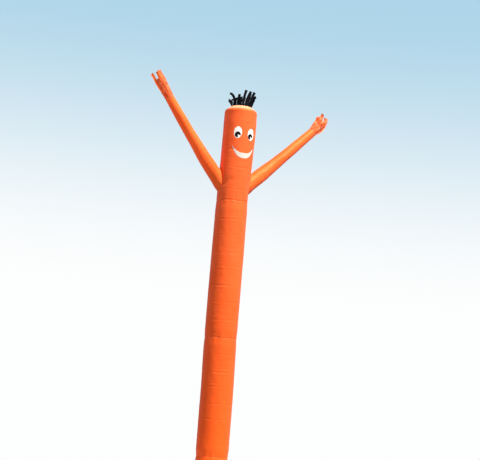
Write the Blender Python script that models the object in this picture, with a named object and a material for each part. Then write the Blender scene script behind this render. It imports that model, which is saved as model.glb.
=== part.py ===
"""Inflatable air dancer, sewn from light nylon and standing full of air on its hem.

The tube is four stacked panels with puckered seams, closed by a rounded crown with a
round vent. Two tapering arms open into the chest panel and end in wrist bands with
loose strips. A band with hair strips stands in the vent. The face is five patches.

Metres, +Z up, the face looks toward -Y, the foot stands on z = 0.
"""
import math

import bmesh
import bpy
from mathutils import Matrix, Vector

# Cloth and clearances
CLOTH = 0.002
PATCH = 0.0014
STRIP = 0.0022
SEAM_GAP = 0.0006
PATCH_GAP = 0.0009
ARM_GAP = 0.0016

# Facets round each kind of tube
TUBE_SIDES = 24
ARM_SIDES = 16

# Tube panels from the foot up
PANELS = (
    # name, foot, head
    ("tube_sleeve", 0.000, 0.405),
    ("tube_lower", 0.405, 2.075),
    ("tube_middle", 2.075, 4.050),
    ("tube_shoulder", 4.050, 5.345),
)
HEM_HEIGHT = 0.05
HEM_EXTRA = 0.001
SEAM_RISE = 0.028
SEAM_WAVE = 0.005
SEAM_WAVES = 5

# Girth of the filled tube, narrower under the arms and at the seams
GIRTH = (
    # height, diameter
    (0.000, 0.464),
    (0.300, 0.465),
    (0.405, 0.448),
    (0.520, 0.466),
    (1.950, 0.466),
    (2.075, 0.455),
    (2.200, 0.466),
    (3.200, 0.466),
    (3.600, 0.463),
    (3.900, 0.462),
    (4.050, 0.449),
    (4.140, 0.451),
    (4.500, 0.464),
    (4.750, 0.466),
    (5.000, 0.475),
    (5.200, 0.479),
    (5.345, 0.472),
)

# Rows of the chest panel, its foot seam's folds and the height at which the arms join
CHEST_ROWS = (4.33, 4.50, 4.62, 4.75, 4.95, 5.15, 5.27)
SEAM_FOLD = 0.12
SEAM_FADE = 0.10
ARM_MIDDLE = 4.35

# Sideways wander of the tube's middle line
BOW = (
    # height, offset toward +X
    (0.00, 0.000),
    (1.20, -0.004),
    (2.10, -0.020),
    (4.10, -0.021),
    (4.75, -0.003),
    (5.10, 0.004),
    (5.60, 0.001),
)

# Creases left by folding, each a shallow valley round the tube
CREASE_HALF = 0.034
CREASES = (
    # height, depth, tilt, heading of the tilt in degrees
    (0.200, 0.0025, 0.004, 40),
    (0.655, 0.0030, 0.006, 200),
    (0.930, 0.0020, 0.003, 90),
    (1.140, 0.0030, 0.005, 310),
    (1.380, 0.0035, 0.007, 20),
    (1.590, 0.0045, 0.006, 150),
    (1.840, 0.0025, 0.004, 260),
    (2.325, 0.0030, 0.006, 70),
    (2.580, 0.0025, 0.004, 180),
    (2.810, 0.0030, 0.005, 330),
    (3.040, 0.0025, 0.005, 110),
    (3.285, 0.0030, 0.006, 230),
    (3.540, 0.0025, 0.004, 10),
    (3.775, 0.0040, 0.007, 140),
)

# Rounded crown, from the tube's head to the edge of the vent
CROWN = (
    # radius, height
    (0.2360, 5.345),
    (0.2355, 5.372),
    (0.2305, 5.394),
    (0.2170, 5.409),
    (0.1880, 5.430),
    (0.1520, 5.456),
)

# Arms: reach is measured from the tube's middle line in the arm's own upright plane
ARM_LEFT_HEADING = 172.0
ARM_LEFT = (
    # reach, height, diameter
    (0.380, 4.529, 0.199),
    (0.474, 4.645, 0.188),
    (0.563, 4.765, 0.174),
    (0.652, 4.882, 0.164),
    (0.742, 5.001, 0.155),
    (0.829, 5.122, 0.150),
    (0.917, 5.242, 0.144),
    (1.004, 5.362, 0.137),
    (1.054, 5.434, 0.132),
)
ARM_RIGHT_HEADING = 8.0
ARM_RIGHT = (
    # reach, height, diameter
    (0.433, 4.513, 0.211),
    (0.547, 4.615, 0.196),
    (0.659, 4.718, 0.176),
    (0.771, 4.822, 0.166),
    (0.885, 4.928, 0.159),
    (0.997, 5.035, 0.153),
    (1.111, 5.144, 0.145),
    (1.224, 5.253, 0.138),
    (1.289, 5.316, 0.132),
)
ARM_LEFT_ROOT = (0.206, 0.200)
ARM_RIGHT_ROOT = (0.224, 0.213)
ARM_SHOULDER_SHARE = 0.62
ARM_HOLE_DIAMETER = 0.178
ARM_HOLE_REACH = 0.27

# Bands that carry strips
BAND_HEIGHT = 0.028
STRIP_ROWS = 5
HAND_TAPER = 0.92
HAIR_TAPER = 1.05
TWIST_BY = 0.45
HAND_FILL = 0.90
HAND_SPANS = 3
HAIR_FILL = 0.95
HAIR_RADIUS = 0.1488
HAIR_FOOT = 5.434

# Strips of the two hands, in order round the wrist from the top side
HAND_LEFT = (
    # length, lean, curl, sway, twist; degrees, positive lean and curl go outward
    (0.405, 0, 1, -0.035, 12),
    (0.410, 2, 1, -0.02, 10),
    (0.300, 0, -1, -0.035, 8),
    (0.410, -2, 5, -0.035, 32),
    (0.305, 0, -1, -0.042, 6),
    (0.405, 2, 2, -0.04, -6),
)
HAND_RIGHT = (
    # length, lean, curl, sway, twist
    (0.250, -4, 44, 0.00, 62),
    (0.288, 6, 14, -0.24, 20),
    (0.290, 6, -18, -0.06, 18),
    (0.375, 5, -50, 0.04, 55),
    (0.330, 8, -14, 0.10, -20),
    (0.310, 6, 6, 0.10, -20),
)

# Strips of hair, in order round the vent from the front toward +X
HAIR = (
    # length, lean, curl, sway, twist
    (0.215, 8, 6, 0.24, -20),
    (0.190, -3, 12, 0.16, -28),
    (0.222, 9, 10, 0.12, -50),
    (0.176, 4, 50, 0.00, -62),
    (0.140, 2, 38, -0.04, -60),
    (0.150, 3, 12, 0.00, 8),
    (0.180, -4, 10, -0.05, -8),
    (0.185, 3, 8, -0.08, 8),
    (0.190, -5, 8, -0.10, -8),
    (0.185, 3, 6, -0.12, 8),
    (0.195, -4, 6, -0.12, 8),
    (0.180, 3, 6, -0.10, -8),
    (0.185, -5, 6, -0.08, 8),
    (0.165, 2, 6, -0.06, -8),
    (0.140, -5, 8, -0.03, 8),
    (0.105, 2, 8, 0.00, -8),
    (0.112, -2, 80, 0.00, 60),
    (0.125, -10, 95, 0.00, -55),
    (0.100, 3, 6, 0.00, 8),
    (0.222, -14, 120, 0.06, 40),
    (0.110, 2, 6, 0.12, -8),
    (0.160, 3, 6, 0.14, 12),
    (0.125, 3, 6, 0.05, 8),
    (0.232, -3, 8, 0.14, -8),
)

# Face, laid out flat on the tube: across is degrees round from the front
FACE_RADIUS = 0.2390
FACE = (
    # side, eye across, eye height, eye half width, pupil across, pupil height
    ("left", -28.6, 5.046, 0.0600, -28.0, 5.008),
    ("right", 21.6, 5.035, 0.0580, 19.9, 4.998),
)
EYE_UP = 0.079
EYE_DOWN = 0.093
PUPIL_RADIUS = 0.043
NOTCH_HEADING = -50.0
NOTCH_WIDTH = 62.0
SMILE_HALF = 42.4
SMILE_TIP = 4.834
SMILE_LOW = 0.155
SMILE_HIGH = 0.0975
SMILE_END = 0.018
SMILE_FULL = 2.5
PATCH_STEP = 6.0

COLOURS = {
    # sRGB colour and roughness of each cloth
    "orange": ((0.93, 0.36, 0.16), 0.55),
    "navy": ((0.05, 0.05, 0.10), 0.50),
    "white": ((0.97, 0.95, 0.91), 0.60),
    "black": ((0.06, 0.06, 0.09), 0.60),
}


def smooth_at(table, height):
    """Value of a two-column table at a height, eased between its rows."""
    if height <= table[0][0]:
        return table[0][1]
    for (z0, v0), (z1, v1) in zip(table, table[1:]):
        if height <= z1:
            share = (height - z0) / (z1 - z0)
            share = share * share * (3.0 - 2.0 * share)
            return v0 + (v1 - v0) * share
    return table[-1][1]


def linear_at(rows, height):
    """Middle line offset and radius between the built rows of the chest panel."""
    for low, high in zip(rows, rows[1:]):
        if height <= high[0]:
            break
    share = (height - low[0]) / (high[0] - low[0])
    return [a + (b - a) * share for a, b in zip(low[1:], high[1:])]


def linear(channel):
    """Linear value of one sRGB channel."""
    if channel <= 0.04045:
        return channel / 12.92
    return ((channel + 0.055) / 1.055) ** 2.4


def material(kind):
    """Principled cloth of one colour."""
    colour, roughness = COLOURS[kind]
    made = bpy.data.materials.get(kind)
    if made is None:
        made = bpy.data.materials.new(kind)
        made.use_nodes = True
        shader = made.node_tree.nodes["Principled BSDF"]
        rgb = [linear(c) for c in colour]
        shader.inputs["Base Color"].default_value = (*rgb, 1.0)
        shader.inputs["Roughness"].default_value = roughness
        shader.inputs["Metallic"].default_value = 0.0
        made.diffuse_color = (*rgb, 1.0)
    return made


def add_object(name, points, faces, kind):
    """Closed mesh object with outward faces."""
    mesh = bpy.data.meshes.new(name)
    mesh.from_pydata([tuple(p) for p in points], [], faces)
    shape = bmesh.new()
    shape.from_mesh(mesh)
    bmesh.ops.recalc_face_normals(shape, faces=shape.faces)
    shape.to_mesh(mesh)
    shape.free()
    mesh.shade_smooth()
    made = bpy.data.objects.new(name, mesh)
    bpy.context.scene.collection.objects.link(made)
    mesh.materials.append(material(kind))
    return made


def shell(name, outer, inner, kind):
    """Open-ended tube wall between two equal stacks of rings."""
    sides = len(outer[0])
    count = len(outer)
    points = [p for ring in outer for p in ring]
    points += [p for ring in inner for p in ring]
    offset = sides * count
    faces = []
    for row in range(count - 1):
        for i in range(sides):
            j = (i + 1) % sides
            a = row * sides + i
            b = row * sides + j
            faces.append((a, b, b + sides, a + sides))
            faces.append((a + offset, a + sides + offset, b + sides + offset, b + offset))
    top = (count - 1) * sides
    for i in range(sides):
        j = (i + 1) % sides
        faces.append((i, i + offset, j + offset, j))
        faces.append((top + i, top + j, top + j + offset, top + i + offset))
    return add_object(name, points, faces, kind)


def panel_rows(foot, head):
    """Rows of one tube panel: height, tilt, heading and how far the row dips inward."""
    rows = [(foot, 0.0, 0.0, 0.0), (head, 0.0, 0.0, 0.0)]
    for z, depth, tilt, heading in CREASES:
        if foot < z < head:
            rows.append((z - CREASE_HALF, tilt, heading, 0.0))
            rows.append((z, tilt, heading, depth))
            rows.append((z + CREASE_HALF, tilt, heading, 0.0))
    for edge, side in ((foot, 1), (head, -1)):
        if 0.0 < edge < PANELS[-1][2]:
            rows.append((edge + side * SEAM_RISE, 0.0, 0.0, 0.0))
            rows.append((edge + side * SEAM_FOLD, 0.0, 0.0, 0.0))
    if foot == PANELS[-1][1]:
        rows += [(z, 0.0, 0.0, 0.0) for z in CHEST_ROWS]
    if foot == 0.0:
        rows.append((HEM_HEIGHT, 0.0, 0.0, 0.0))
        rows.append((HEM_HEIGHT + 0.012, 0.0, 0.0, 0.0))
    return sorted(rows)


def seam_swing(z, angle):
    """Rise of the puckered seam nearest to a height, at one angle round the tube."""
    swing = 0.0
    for _, _, seam in PANELS[:-1]:
        fade = max(0.0, 1.0 - abs(z - seam) / SEAM_FADE)
        wave = math.sin(SEAM_WAVES * angle + 9.0 * seam)
        wave += 0.6 * math.sin((SEAM_WAVES + 3) * angle + 4.0 * seam)
        swing += SEAM_WAVE * fade * wave
    return swing


def build_panel(name, foot, head):
    """One tube panel, with its creases and puckered ends."""
    outer = []
    inner = []
    low = foot + (SEAM_GAP / 2 if foot > 0 else 0.0)
    high = head - SEAM_GAP / 2
    for z, tilt, heading, dip in panel_rows(foot, head):
        radius = smooth_at(GIRTH, z) / 2 - dip
        wall = CLOTH
        if foot == 0.0 and z <= HEM_HEIGHT:
            wall += HEM_EXTRA
        middle = smooth_at(BOW, z)
        base = min(max(z, low), high)
        ring_out = []
        ring_in = []
        for i in range(TUBE_SIDES):
            angle = 2 * math.pi * i / TUBE_SIDES
            rise = base + seam_swing(z, angle)
            rise += tilt * math.cos(angle - math.radians(heading))
            x = math.sin(angle)
            y = -math.cos(angle)
            ring_out.append(Vector((middle + radius * x, radius * y, rise)))
            ring_in.append(Vector((middle + (radius - wall) * x, (radius - wall) * y, rise)))
        outer.append(ring_out)
        inner.append(ring_in)
    return shell(name, outer, inner, "orange")


def build_crown():
    """Rounded ring of cloth that narrows the head to its vent."""
    outer = []
    inner = []
    for k, (radius, z) in enumerate(CROWN):
        before = CROWN[max(k - 1, 0)]
        after = CROWN[min(k + 1, len(CROWN) - 1)]
        run = Vector((after[0] - before[0], 0.0, after[1] - before[1])).normalized()
        inward = Vector((-run.z, 0.0, run.x))
        if k == 0:
            inward = Vector((-1.0, 0.0, 0.0))
        z = z + SEAM_GAP / 2 if k == 0 else z
        middle = smooth_at(BOW, z)
        ring_out = []
        ring_in = []
        for i in range(TUBE_SIDES):
            angle = 2 * math.pi * i / TUBE_SIDES
            x = math.sin(angle)
            y = -math.cos(angle)
            deep = radius + inward.x * CLOTH
            ring_out.append(Vector((middle + radius * x, radius * y, z)))
            ring_in.append(Vector((middle + deep * x, deep * y, z + inward.z * CLOTH)))
        outer.append(ring_out)
        inner.append(ring_in)
    return shell("crown", outer, inner, "orange")


def arm_point(heading, reach, height):
    """World point of an arm row."""
    turn = math.radians(heading)
    middle = smooth_at(BOW, ARM_MIDDLE)
    return Vector((middle + reach * math.cos(turn), reach * math.sin(turn), height))


def to_tube(point, along, rows):
    """Slide a point along a line until it rests just clear of the chest panel."""
    near = 0.0
    far = 0.60
    for _ in range(40):
        step = (near + far) / 2
        spot = point - along * step
        middle, radius = linear_at(rows, spot.z)
        if math.hypot(spot.x - middle, spot.y) > radius + ARM_GAP:
            near = step
        else:
            far = step
    return point - along * near


def ring_at(centre, along, side, diameter, sides):
    """Ring of points round a line, starting on its upper side."""
    up = side.cross(along).normalized()
    points = []
    for i in range(sides):
        angle = 2 * math.pi * i / sides
        points.append(centre + (up * math.cos(angle) + side * math.sin(angle)) * diameter / 2)
    return points


def build_arm(name, heading, table, roots, rows):
    """Tapering sleeve from the chest panel to the wrist; returns it with its two end frames."""
    turn = math.radians(heading)
    side = Vector((math.sin(turn), -math.cos(turn), 0.0))
    centres = [arm_point(heading, reach, height) for reach, height, _ in table]
    lines = []
    for k in range(len(centres)):
        before = centres[max(k - 1, 0)]
        after = centres[min(k + 1, len(centres) - 1)]
        lines.append((after - before).normalized())
    outer = []
    inner = []
    for centre, along, (_, _, diameter) in zip(centres, lines, table):
        outer.append(ring_at(centre, along, side, diameter, ARM_SIDES))
        inner.append(ring_at(centre, along, side, diameter - 2 * CLOTH, ARM_SIDES))
    for stack, wall in ((outer, 0.0), (inner, 2 * CLOTH)):
        feet = []
        for wide in roots:
            ring = ring_at(centres[0], lines[0], side, wide - wall, ARM_SIDES)
            feet.append([to_tube(p, lines[0], rows) for p in ring])
        first = stack[0]
        middle = [a.lerp(b, ARM_SHOULDER_SHARE) for a, b in zip(first, feet[1])]
        stack[0:0] = [feet[0], middle]
    made = shell(name, outer, inner, "orange")
    return made, (centres[0], lines[0]), (centres[-1], lines[-1], side)


def band_with_strips(name, centre, along, side, radius, fill, spans, taper, table, kind):
    """Round band whose upper edge runs on into loose strips, each spans facets wide."""
    up = side.cross(along).normalized()
    pitch = 2 * math.pi / len(table)
    half = pitch * fill / 2
    lanes = [-1 + 2 * j / spans for j in range(spans + 1)]
    points = []
    faces = []
    for k in range(len(table)):
        for lane in lanes:
            angle = pitch * k + half * lane
            out = up * math.cos(angle) + side * math.sin(angle)
            for reach, height in ((0, 0), (-STRIP, 0), (0, BAND_HEIGHT), (-STRIP, BAND_HEIGHT)):
                points.append(centre + out * (radius + reach) + along * height)
    stations = len(table) * (spans + 1)
    for s in range(stations):
        a = 4 * s
        b = 4 * ((s + 1) % stations)
        faces.append((a, b, b + 2, a + 2))
        faces.append((a + 1, a + 3, b + 3, b + 1))
        faces.append((a, a + 1, b + 1, b))
        if s % (spans + 1) == spans:
            faces.append((a + 2, b + 2, b + 3, a + 3))
    for k, (length, lean, curl, sway, twist) in enumerate(table):
        out = up * math.cos(pitch * k) + side * math.sin(pitch * k)
        across = -up * math.sin(pitch * k) + side * math.cos(pitch * k)
        root = 4 * (spans + 1) * k
        last = [root + 4 * j + 2 for j in range(spans + 1)]
        last += [root + 4 * j + 3 for j in range(spans, -1, -1)]
        spot = centre + out * (radius - STRIP / 2) + along * BAND_HEIGHT
        for row in range(1, STRIP_ROWS + 1):
            share = row / STRIP_ROWS
            bend = math.radians(lean + curl * (share - 0.5 / STRIP_ROWS) ** 1.6)
            spot += (along * math.cos(bend) + out * math.sin(bend)) * length / STRIP_ROWS
            drift = across * sway * length * share ** 2
            ahead = math.radians(lean + curl * share ** 1.6)
            run = along * math.cos(ahead) + out * math.sin(ahead)
            turn = Matrix.Rotation(math.radians(twist) * min(share / TWIST_BY, 1.0), 3, run)
            flat = turn @ (out * math.cos(ahead) - along * math.sin(ahead))
            wide = turn @ across * (1.0 - (1.0 - taper) * share)
            thick = STRIP / 2 * (1.0 - 0.3 * share)
            here = len(points)
            skins = [(lane, thick) for lane in lanes]
            skins += [(lane, -thick) for lane in reversed(lanes)]
            for lane, lift in skins:
                bow = radius * (math.cos(half * lane) - 1.0) * (1.0 - share) ** 2
                reach = radius * math.sin(half * lane)
                points.append(spot + drift + wide * reach + flat * (bow + lift))
            ring = list(range(here, here + len(skins)))
            for e in range(len(skins)):
                f = (e + 1) % len(skins)
                if e > spans:
                    faces.append((last[e], last[f], ring[e]))
                    faces.append((last[f], ring[f], ring[e]))
                else:
                    faces.append((last[e], last[f], ring[f]))
                    faces.append((last[e], ring[f], ring[e]))
            last = ring
        for j in range(spans):
            faces.append((last[j], last[j + 1], last[-2 - j], last[-1 - j]))
    return add_object(name, points, faces, kind)


def on_face(across, height, lift, rows):
    """Point on the chest panel, raised by lift, at an arc length across from the front."""
    middle, radius = linear_at(rows, height)
    angle = across / FACE_RADIUS
    reach = radius + lift
    return Vector((middle + reach * math.sin(angle), -reach * math.cos(angle), height))


def patch(name, grid, lift, kind, rows):
    """Thin patch over a grid of flat face positions, columns left to right."""
    tall = len(grid[0])
    points = []
    for height in (lift, lift + PATCH):
        for column in grid:
            points += [on_face(u, v, height, rows) for u, v in column]
    offset = len(grid) * tall
    faces = []
    for c in range(len(grid) - 1):
        for r in range(tall - 1):
            a = c * tall + r
            quad = (a, a + tall, a + tall + 1, a + 1)
            back = (a, a + 1, a + tall + 1, a + tall)
            faces.append(quad)
            faces.append(tuple(i + offset for i in back))
    edge = [c * tall for c in range(len(grid))]
    edge += [(len(grid) - 1) * tall + r for r in range(1, tall)]
    edge += [c * tall + tall - 1 for c in range(len(grid) - 2, -1, -1)]
    edge += [r for r in range(tall - 2, 0, -1)]
    for a, b in zip(edge, edge[1:] + edge[:1]):
        faces.append((a, b, b + offset, a + offset))
    return add_object(name, points, faces, kind)


def eye_grid(middle, height, half_width):
    """Columns of an egg-shaped eye, fuller above its middle."""
    grid = []
    steps = 8
    for k in range(steps + 1):
        swing = math.radians(-82 + 164 * k / steps)
        u = middle + half_width * math.sin(swing)
        high = height + EYE_UP * math.cos(swing)
        low = height - EYE_DOWN * math.cos(swing)
        grid.append([(u, low + (high - low) * r / 4) for r in range(5)])
    return grid


def pupil_grid(middle, height):
    """Spokes of a round pupil with a wedge left open."""
    grid = []
    steps = 16
    start = NOTCH_HEADING + NOTCH_WIDTH / 2
    for k in range(steps + 1):
        heading = math.radians(start + (360 - NOTCH_WIDTH) * k / steps)
        spoke = []
        for share in (0.12, 0.55, 1.0):
            u = middle + PUPIL_RADIUS * share * math.cos(heading)
            v = height + PUPIL_RADIUS * share * math.sin(heading)
            spoke.append((u, v))
        grid.append(spoke)
    return grid


def smile_grid():
    """Columns of the crescent smile."""
    grid = []
    steps = round(2 * SMILE_HALF / PATCH_STEP)
    for k in range(steps + 1):
        share = -1 + 2 * k / steps
        u = math.radians(SMILE_HALF) * FACE_RADIUS * share
        sag = (1.0 - abs(share) ** SMILE_FULL) ** 0.9
        low = SMILE_TIP - SMILE_LOW * sag - SMILE_END / 2
        high = SMILE_TIP - SMILE_HIGH * sag + SMILE_END / 2
        grid.append([(u, low), (u, (low + high) / 2), (u, high)])
    return grid


def cut_hole(panel, centre, along, diameter):
    """Open an arm hole through one side of the chest panel."""
    bpy.ops.mesh.primitive_cylinder_add(vertices=12, radius=diameter / 2, depth=ARM_HOLE_REACH)
    cutter = bpy.context.object
    cutter.name = "cutter"
    cutter.display_type = "WIRE"
    cutter.hide_render = True
    cutter.rotation_mode = "QUATERNION"
    cutter.rotation_quaternion = along.to_track_quat("Z", "Y")
    cutter.location = centre - along * ARM_HOLE_REACH
    bpy.context.view_layer.update()
    change = panel.modifiers.new("hole", "BOOLEAN")
    change.operation = "DIFFERENCE"
    change.solver = "EXACT"
    change.object = cutter
    shape = bpy.context.evaluated_depsgraph_get()
    cut = bpy.data.meshes.new_from_object(panel.evaluated_get(shape))
    panel.modifiers.remove(change)
    old = panel.data
    panel.data = cut
    bpy.data.meshes.remove(old)
    bpy.data.objects.remove(cutter, do_unlink=True)


def centre_over_foot():
    """Shift every mesh so that the middle of the whole box stands over the origin."""
    parts = [o for o in bpy.context.scene.objects if o.type == "MESH"]
    spots = [v.co for o in parts for v in o.data.vertices]
    low_x = min(p.x for p in spots)
    high_x = max(p.x for p in spots)
    low_y = min(p.y for p in spots)
    high_y = max(p.y for p in spots)
    shift = Vector((-(low_x + high_x) / 2, -(low_y + high_y) / 2, 0.0))
    for made in parts:
        for vertex in made.data.vertices:
            vertex.co += shift
        made.data.update()


def main():
    """Build every piece and set the whole over the origin."""
    for old in list(bpy.data.objects):
        bpy.data.objects.remove(old, do_unlink=True)
    made = {}
    for name, foot, head in PANELS:
        made[name] = build_panel(name, foot, head)
    build_crown()
    _, foot, head = PANELS[-1]
    rows = []
    for z, _, _, dip in panel_rows(foot, head):
        rows.append((z, smooth_at(BOW, z), smooth_at(GIRTH, z) / 2 - dip))
    arms = (
        ("left", ARM_LEFT_HEADING, ARM_LEFT, ARM_LEFT_ROOT, HAND_LEFT),
        ("right", ARM_RIGHT_HEADING, ARM_RIGHT, ARM_RIGHT_ROOT, HAND_RIGHT),
    )
    for name, heading, table, roots, strips in arms:
        _, root, wrist = build_arm("arm_" + name, heading, table, roots, rows)
        cut_hole(made["tube_shoulder"], root[0], root[1], ARM_HOLE_DIAMETER)
        centre, along, side = wrist
        start = centre + along * SEAM_GAP
        band = table[-1][2] / 2
        shape = (band, HAND_FILL, HAND_SPANS, HAND_TAPER)
        band_with_strips("hand_" + name, start, along, side, *shape, strips, "orange")
    vent = Vector((smooth_at(BOW, HAIR_FOOT), 0.0, HAIR_FOOT))
    up = Vector((0.0, 0.0, 1.0))
    across = Vector((1.0, 0.0, 0.0))
    shape = (HAIR_RADIUS, HAIR_FILL, 1, HAIR_TAPER)
    band_with_strips("hair", vent, up, across, *shape, HAIR, "navy")
    for name, eye_across, eye_height, eye_half, pupil_across, pupil_height in FACE:
        eye = math.radians(eye_across) * FACE_RADIUS
        pupil = math.radians(pupil_across) * FACE_RADIUS
        patch("eye_" + name, eye_grid(eye, eye_height, eye_half), PATCH_GAP, "white", rows)
        lift = 2 * PATCH_GAP + PATCH
        patch("pupil_" + name, pupil_grid(pupil, pupil_height), lift, "black", rows)
    patch("smile", smile_grid(), PATCH_GAP, "white", rows)
    centre_over_foot()


main()
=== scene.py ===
"""Dressed model of an inflatable air dancer: nylon tube, arms, loose strips and a sewn-on face.

The tube stands full of air on its hem. Metres, +Z up, the face looks toward -Y.
"""
import logging
import math
from dataclasses import dataclass, field, replace
from enum import Enum
from typing import Any, Optional, Sequence

import bmesh
import bpy
import numpy as np
from mathutils import Matrix, Vector


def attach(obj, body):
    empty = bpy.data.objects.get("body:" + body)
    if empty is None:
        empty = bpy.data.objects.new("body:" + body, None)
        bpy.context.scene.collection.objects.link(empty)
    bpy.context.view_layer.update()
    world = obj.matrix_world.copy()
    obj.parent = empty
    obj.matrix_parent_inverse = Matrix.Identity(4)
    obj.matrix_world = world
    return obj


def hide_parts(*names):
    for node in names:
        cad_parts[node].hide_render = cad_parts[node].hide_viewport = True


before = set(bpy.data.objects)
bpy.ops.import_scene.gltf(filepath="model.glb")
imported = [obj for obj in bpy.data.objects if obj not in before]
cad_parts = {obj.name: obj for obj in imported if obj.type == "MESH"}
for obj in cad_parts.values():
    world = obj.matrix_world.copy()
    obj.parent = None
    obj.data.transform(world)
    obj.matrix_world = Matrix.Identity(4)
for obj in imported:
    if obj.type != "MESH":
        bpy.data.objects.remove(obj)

LOG = logging.getLogger("air_dancer")
Array = np.ndarray
Rows = Sequence[Sequence[float]]
BODY = "root"
CLOTH_UV = "cloth"
NORMAL = "cloth_normal"
CHEST = "cloth_tube_shoulder"
FACE_RADIUS = 0.2390
THREAD_LIFT = 0.0004
FACE_THREAD_LIFT = 0.0003
WHITE_LIFT = 0.0013
BLACK_LIFT = 0.0024
ARM_MIDDLE = 4.35
CREASE_WIDTH = 0.010
LIP_PLACE = 0.024
LIP_WIDTH = 0.012
BAND_WELD = 1e-5
PATCH_WELD = 1e-6


# Choices and small tools


class Cloth(Enum):
    """Cloths of the object, by the material slot that each one takes."""

    ORANGE = "orange_nylon"
    NAVY = "navy_nylon"
    WHITE = "white_nylon"
    BLACK = "black_nylon"


class Held(Enum):
    """How a sheet keeps its shape."""

    STRETCHED = "stretched"
    HUNG = "hung"


class Sew(Enum):
    """Slant of each stitch to its seam, in degrees."""

    STRAIGHT = 0.0
    ZIGZAG = 52.0


def linear_colour(code: str) -> tuple[float, float, float, float]:
    """Linear colour of an sRGB hex code.

    Args:
        code: Six hex digits, such as "f05c28".

    Returns:
        Red, green, blue and an alpha of one.
    """
    parts = []
    for k in (0, 2, 4):
        value = int(code[k:k + 2], 16) / 255
        parts.append(value / 12.92 if value <= 0.04045 else ((value + 0.055) / 1.055) ** 2.4)
    return (parts[0], parts[1], parts[2], 1.0)


def eased(rows: Rows, at: Any) -> Array:
    """Values of a two-column table, eased between its rows.

    Args:
        rows: Rows of place and value, in rising order of place.
        at: Places to read.

    Returns:
        One value for each place.
    """
    place = np.array([r[0] for r in rows])
    value = np.array([r[1] for r in rows])
    at = np.asarray(at, dtype=float)
    k = np.clip(np.searchsorted(place, at) - 1, 0, len(place) - 2)
    share = np.clip((at - place[k]) / (place[k + 1] - place[k]), 0.0, 1.0)
    share = share * share * (3.0 - 2.0 * share)
    return value[k] + (value[k + 1] - value[k]) * share


def spline(knots: Array, rows: Array, at: Array) -> Array:
    """Smooth curve through rows of values.

    Args:
        knots: Place of each row, rising.
        rows: Values, one row for each knot.
        at: Places to read.

    Returns:
        One row of values for each place.
    """
    slope = np.gradient(rows, knots, axis=0)
    k = np.clip(np.searchsorted(knots, at, side="right") - 1, 0, len(knots) - 2)
    gap = (knots[k + 1] - knots[k]).reshape((-1,) + (1,) * (rows.ndim - 1))
    t = ((at - knots[k])).reshape(gap.shape) / gap
    a = 2 * t ** 3 - 3 * t ** 2 + 1
    b = t ** 3 - 2 * t ** 2 + t
    c = -2 * t ** 3 + 3 * t ** 2
    d = t ** 3 - t ** 2
    return a * rows[k] + b * gap * slope[k] + c * rows[k + 1] + d * gap * slope[k + 1]


def bell(distance: Array, width: float) -> Array:
    """Rounded hump of height one at no distance."""
    return np.exp(-((distance / width) ** 2))


def crease(gap: Array, lip: float) -> Array:
    """Crease of depth one at no gap, with the share lip standing up on either side."""
    return bell(gap, CREASE_WIDTH) - lip * bell(np.abs(gap) - LIP_PLACE, LIP_WIDTH)


def angles(count: int) -> Array:
    """Even angles round a circle, in radians."""
    return np.arange(count) * 2 * np.pi / count


def nearest(heights: Array, height: float) -> int:
    """Number of the row that is nearest to a height."""
    return int(np.argmin(np.abs(heights - height)))


def unit(vectors: Array) -> Array:
    """Vectors brought to length one."""
    return vectors / np.maximum(np.linalg.norm(vectors, axis=-1, keepdims=True), 1e-9)


@dataclass(frozen=True)
class Ripples:
    """Fixed mix of waves round a tube and along it.

    Attributes:
        seed: Number that picks the mix.
        low: Fewest waves round the tube.
        high: Most waves round the tube.
        along: Most waves in a metre along the tube.
        count: Waves in the mix.
    """

    seed: int
    low: int
    high: int
    along: float = 0.0
    count: int = 6

    def at(self, turn: Array, length: Array) -> Array:
        """Height of the mix, mostly between minus one and one.

        Args:
            turn: Angle round the tube, in radians.
            length: Distance along the tube, in metres.

        Returns:
            One height for each pair.
        """
        pick = np.random.default_rng(self.seed)
        total = np.zeros(np.broadcast(turn, length).shape)
        for _ in range(self.count):
            waves = int(pick.integers(self.low, self.high + 1))
            rise = pick.uniform(-self.along, self.along) * 2 * math.pi
            phase = pick.uniform(0, 2 * math.pi)
            total = total + np.sin(waves * turn + rise * length + phase)
        return total / math.sqrt(self.count)


# Cloth grids and the objects made of them


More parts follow.
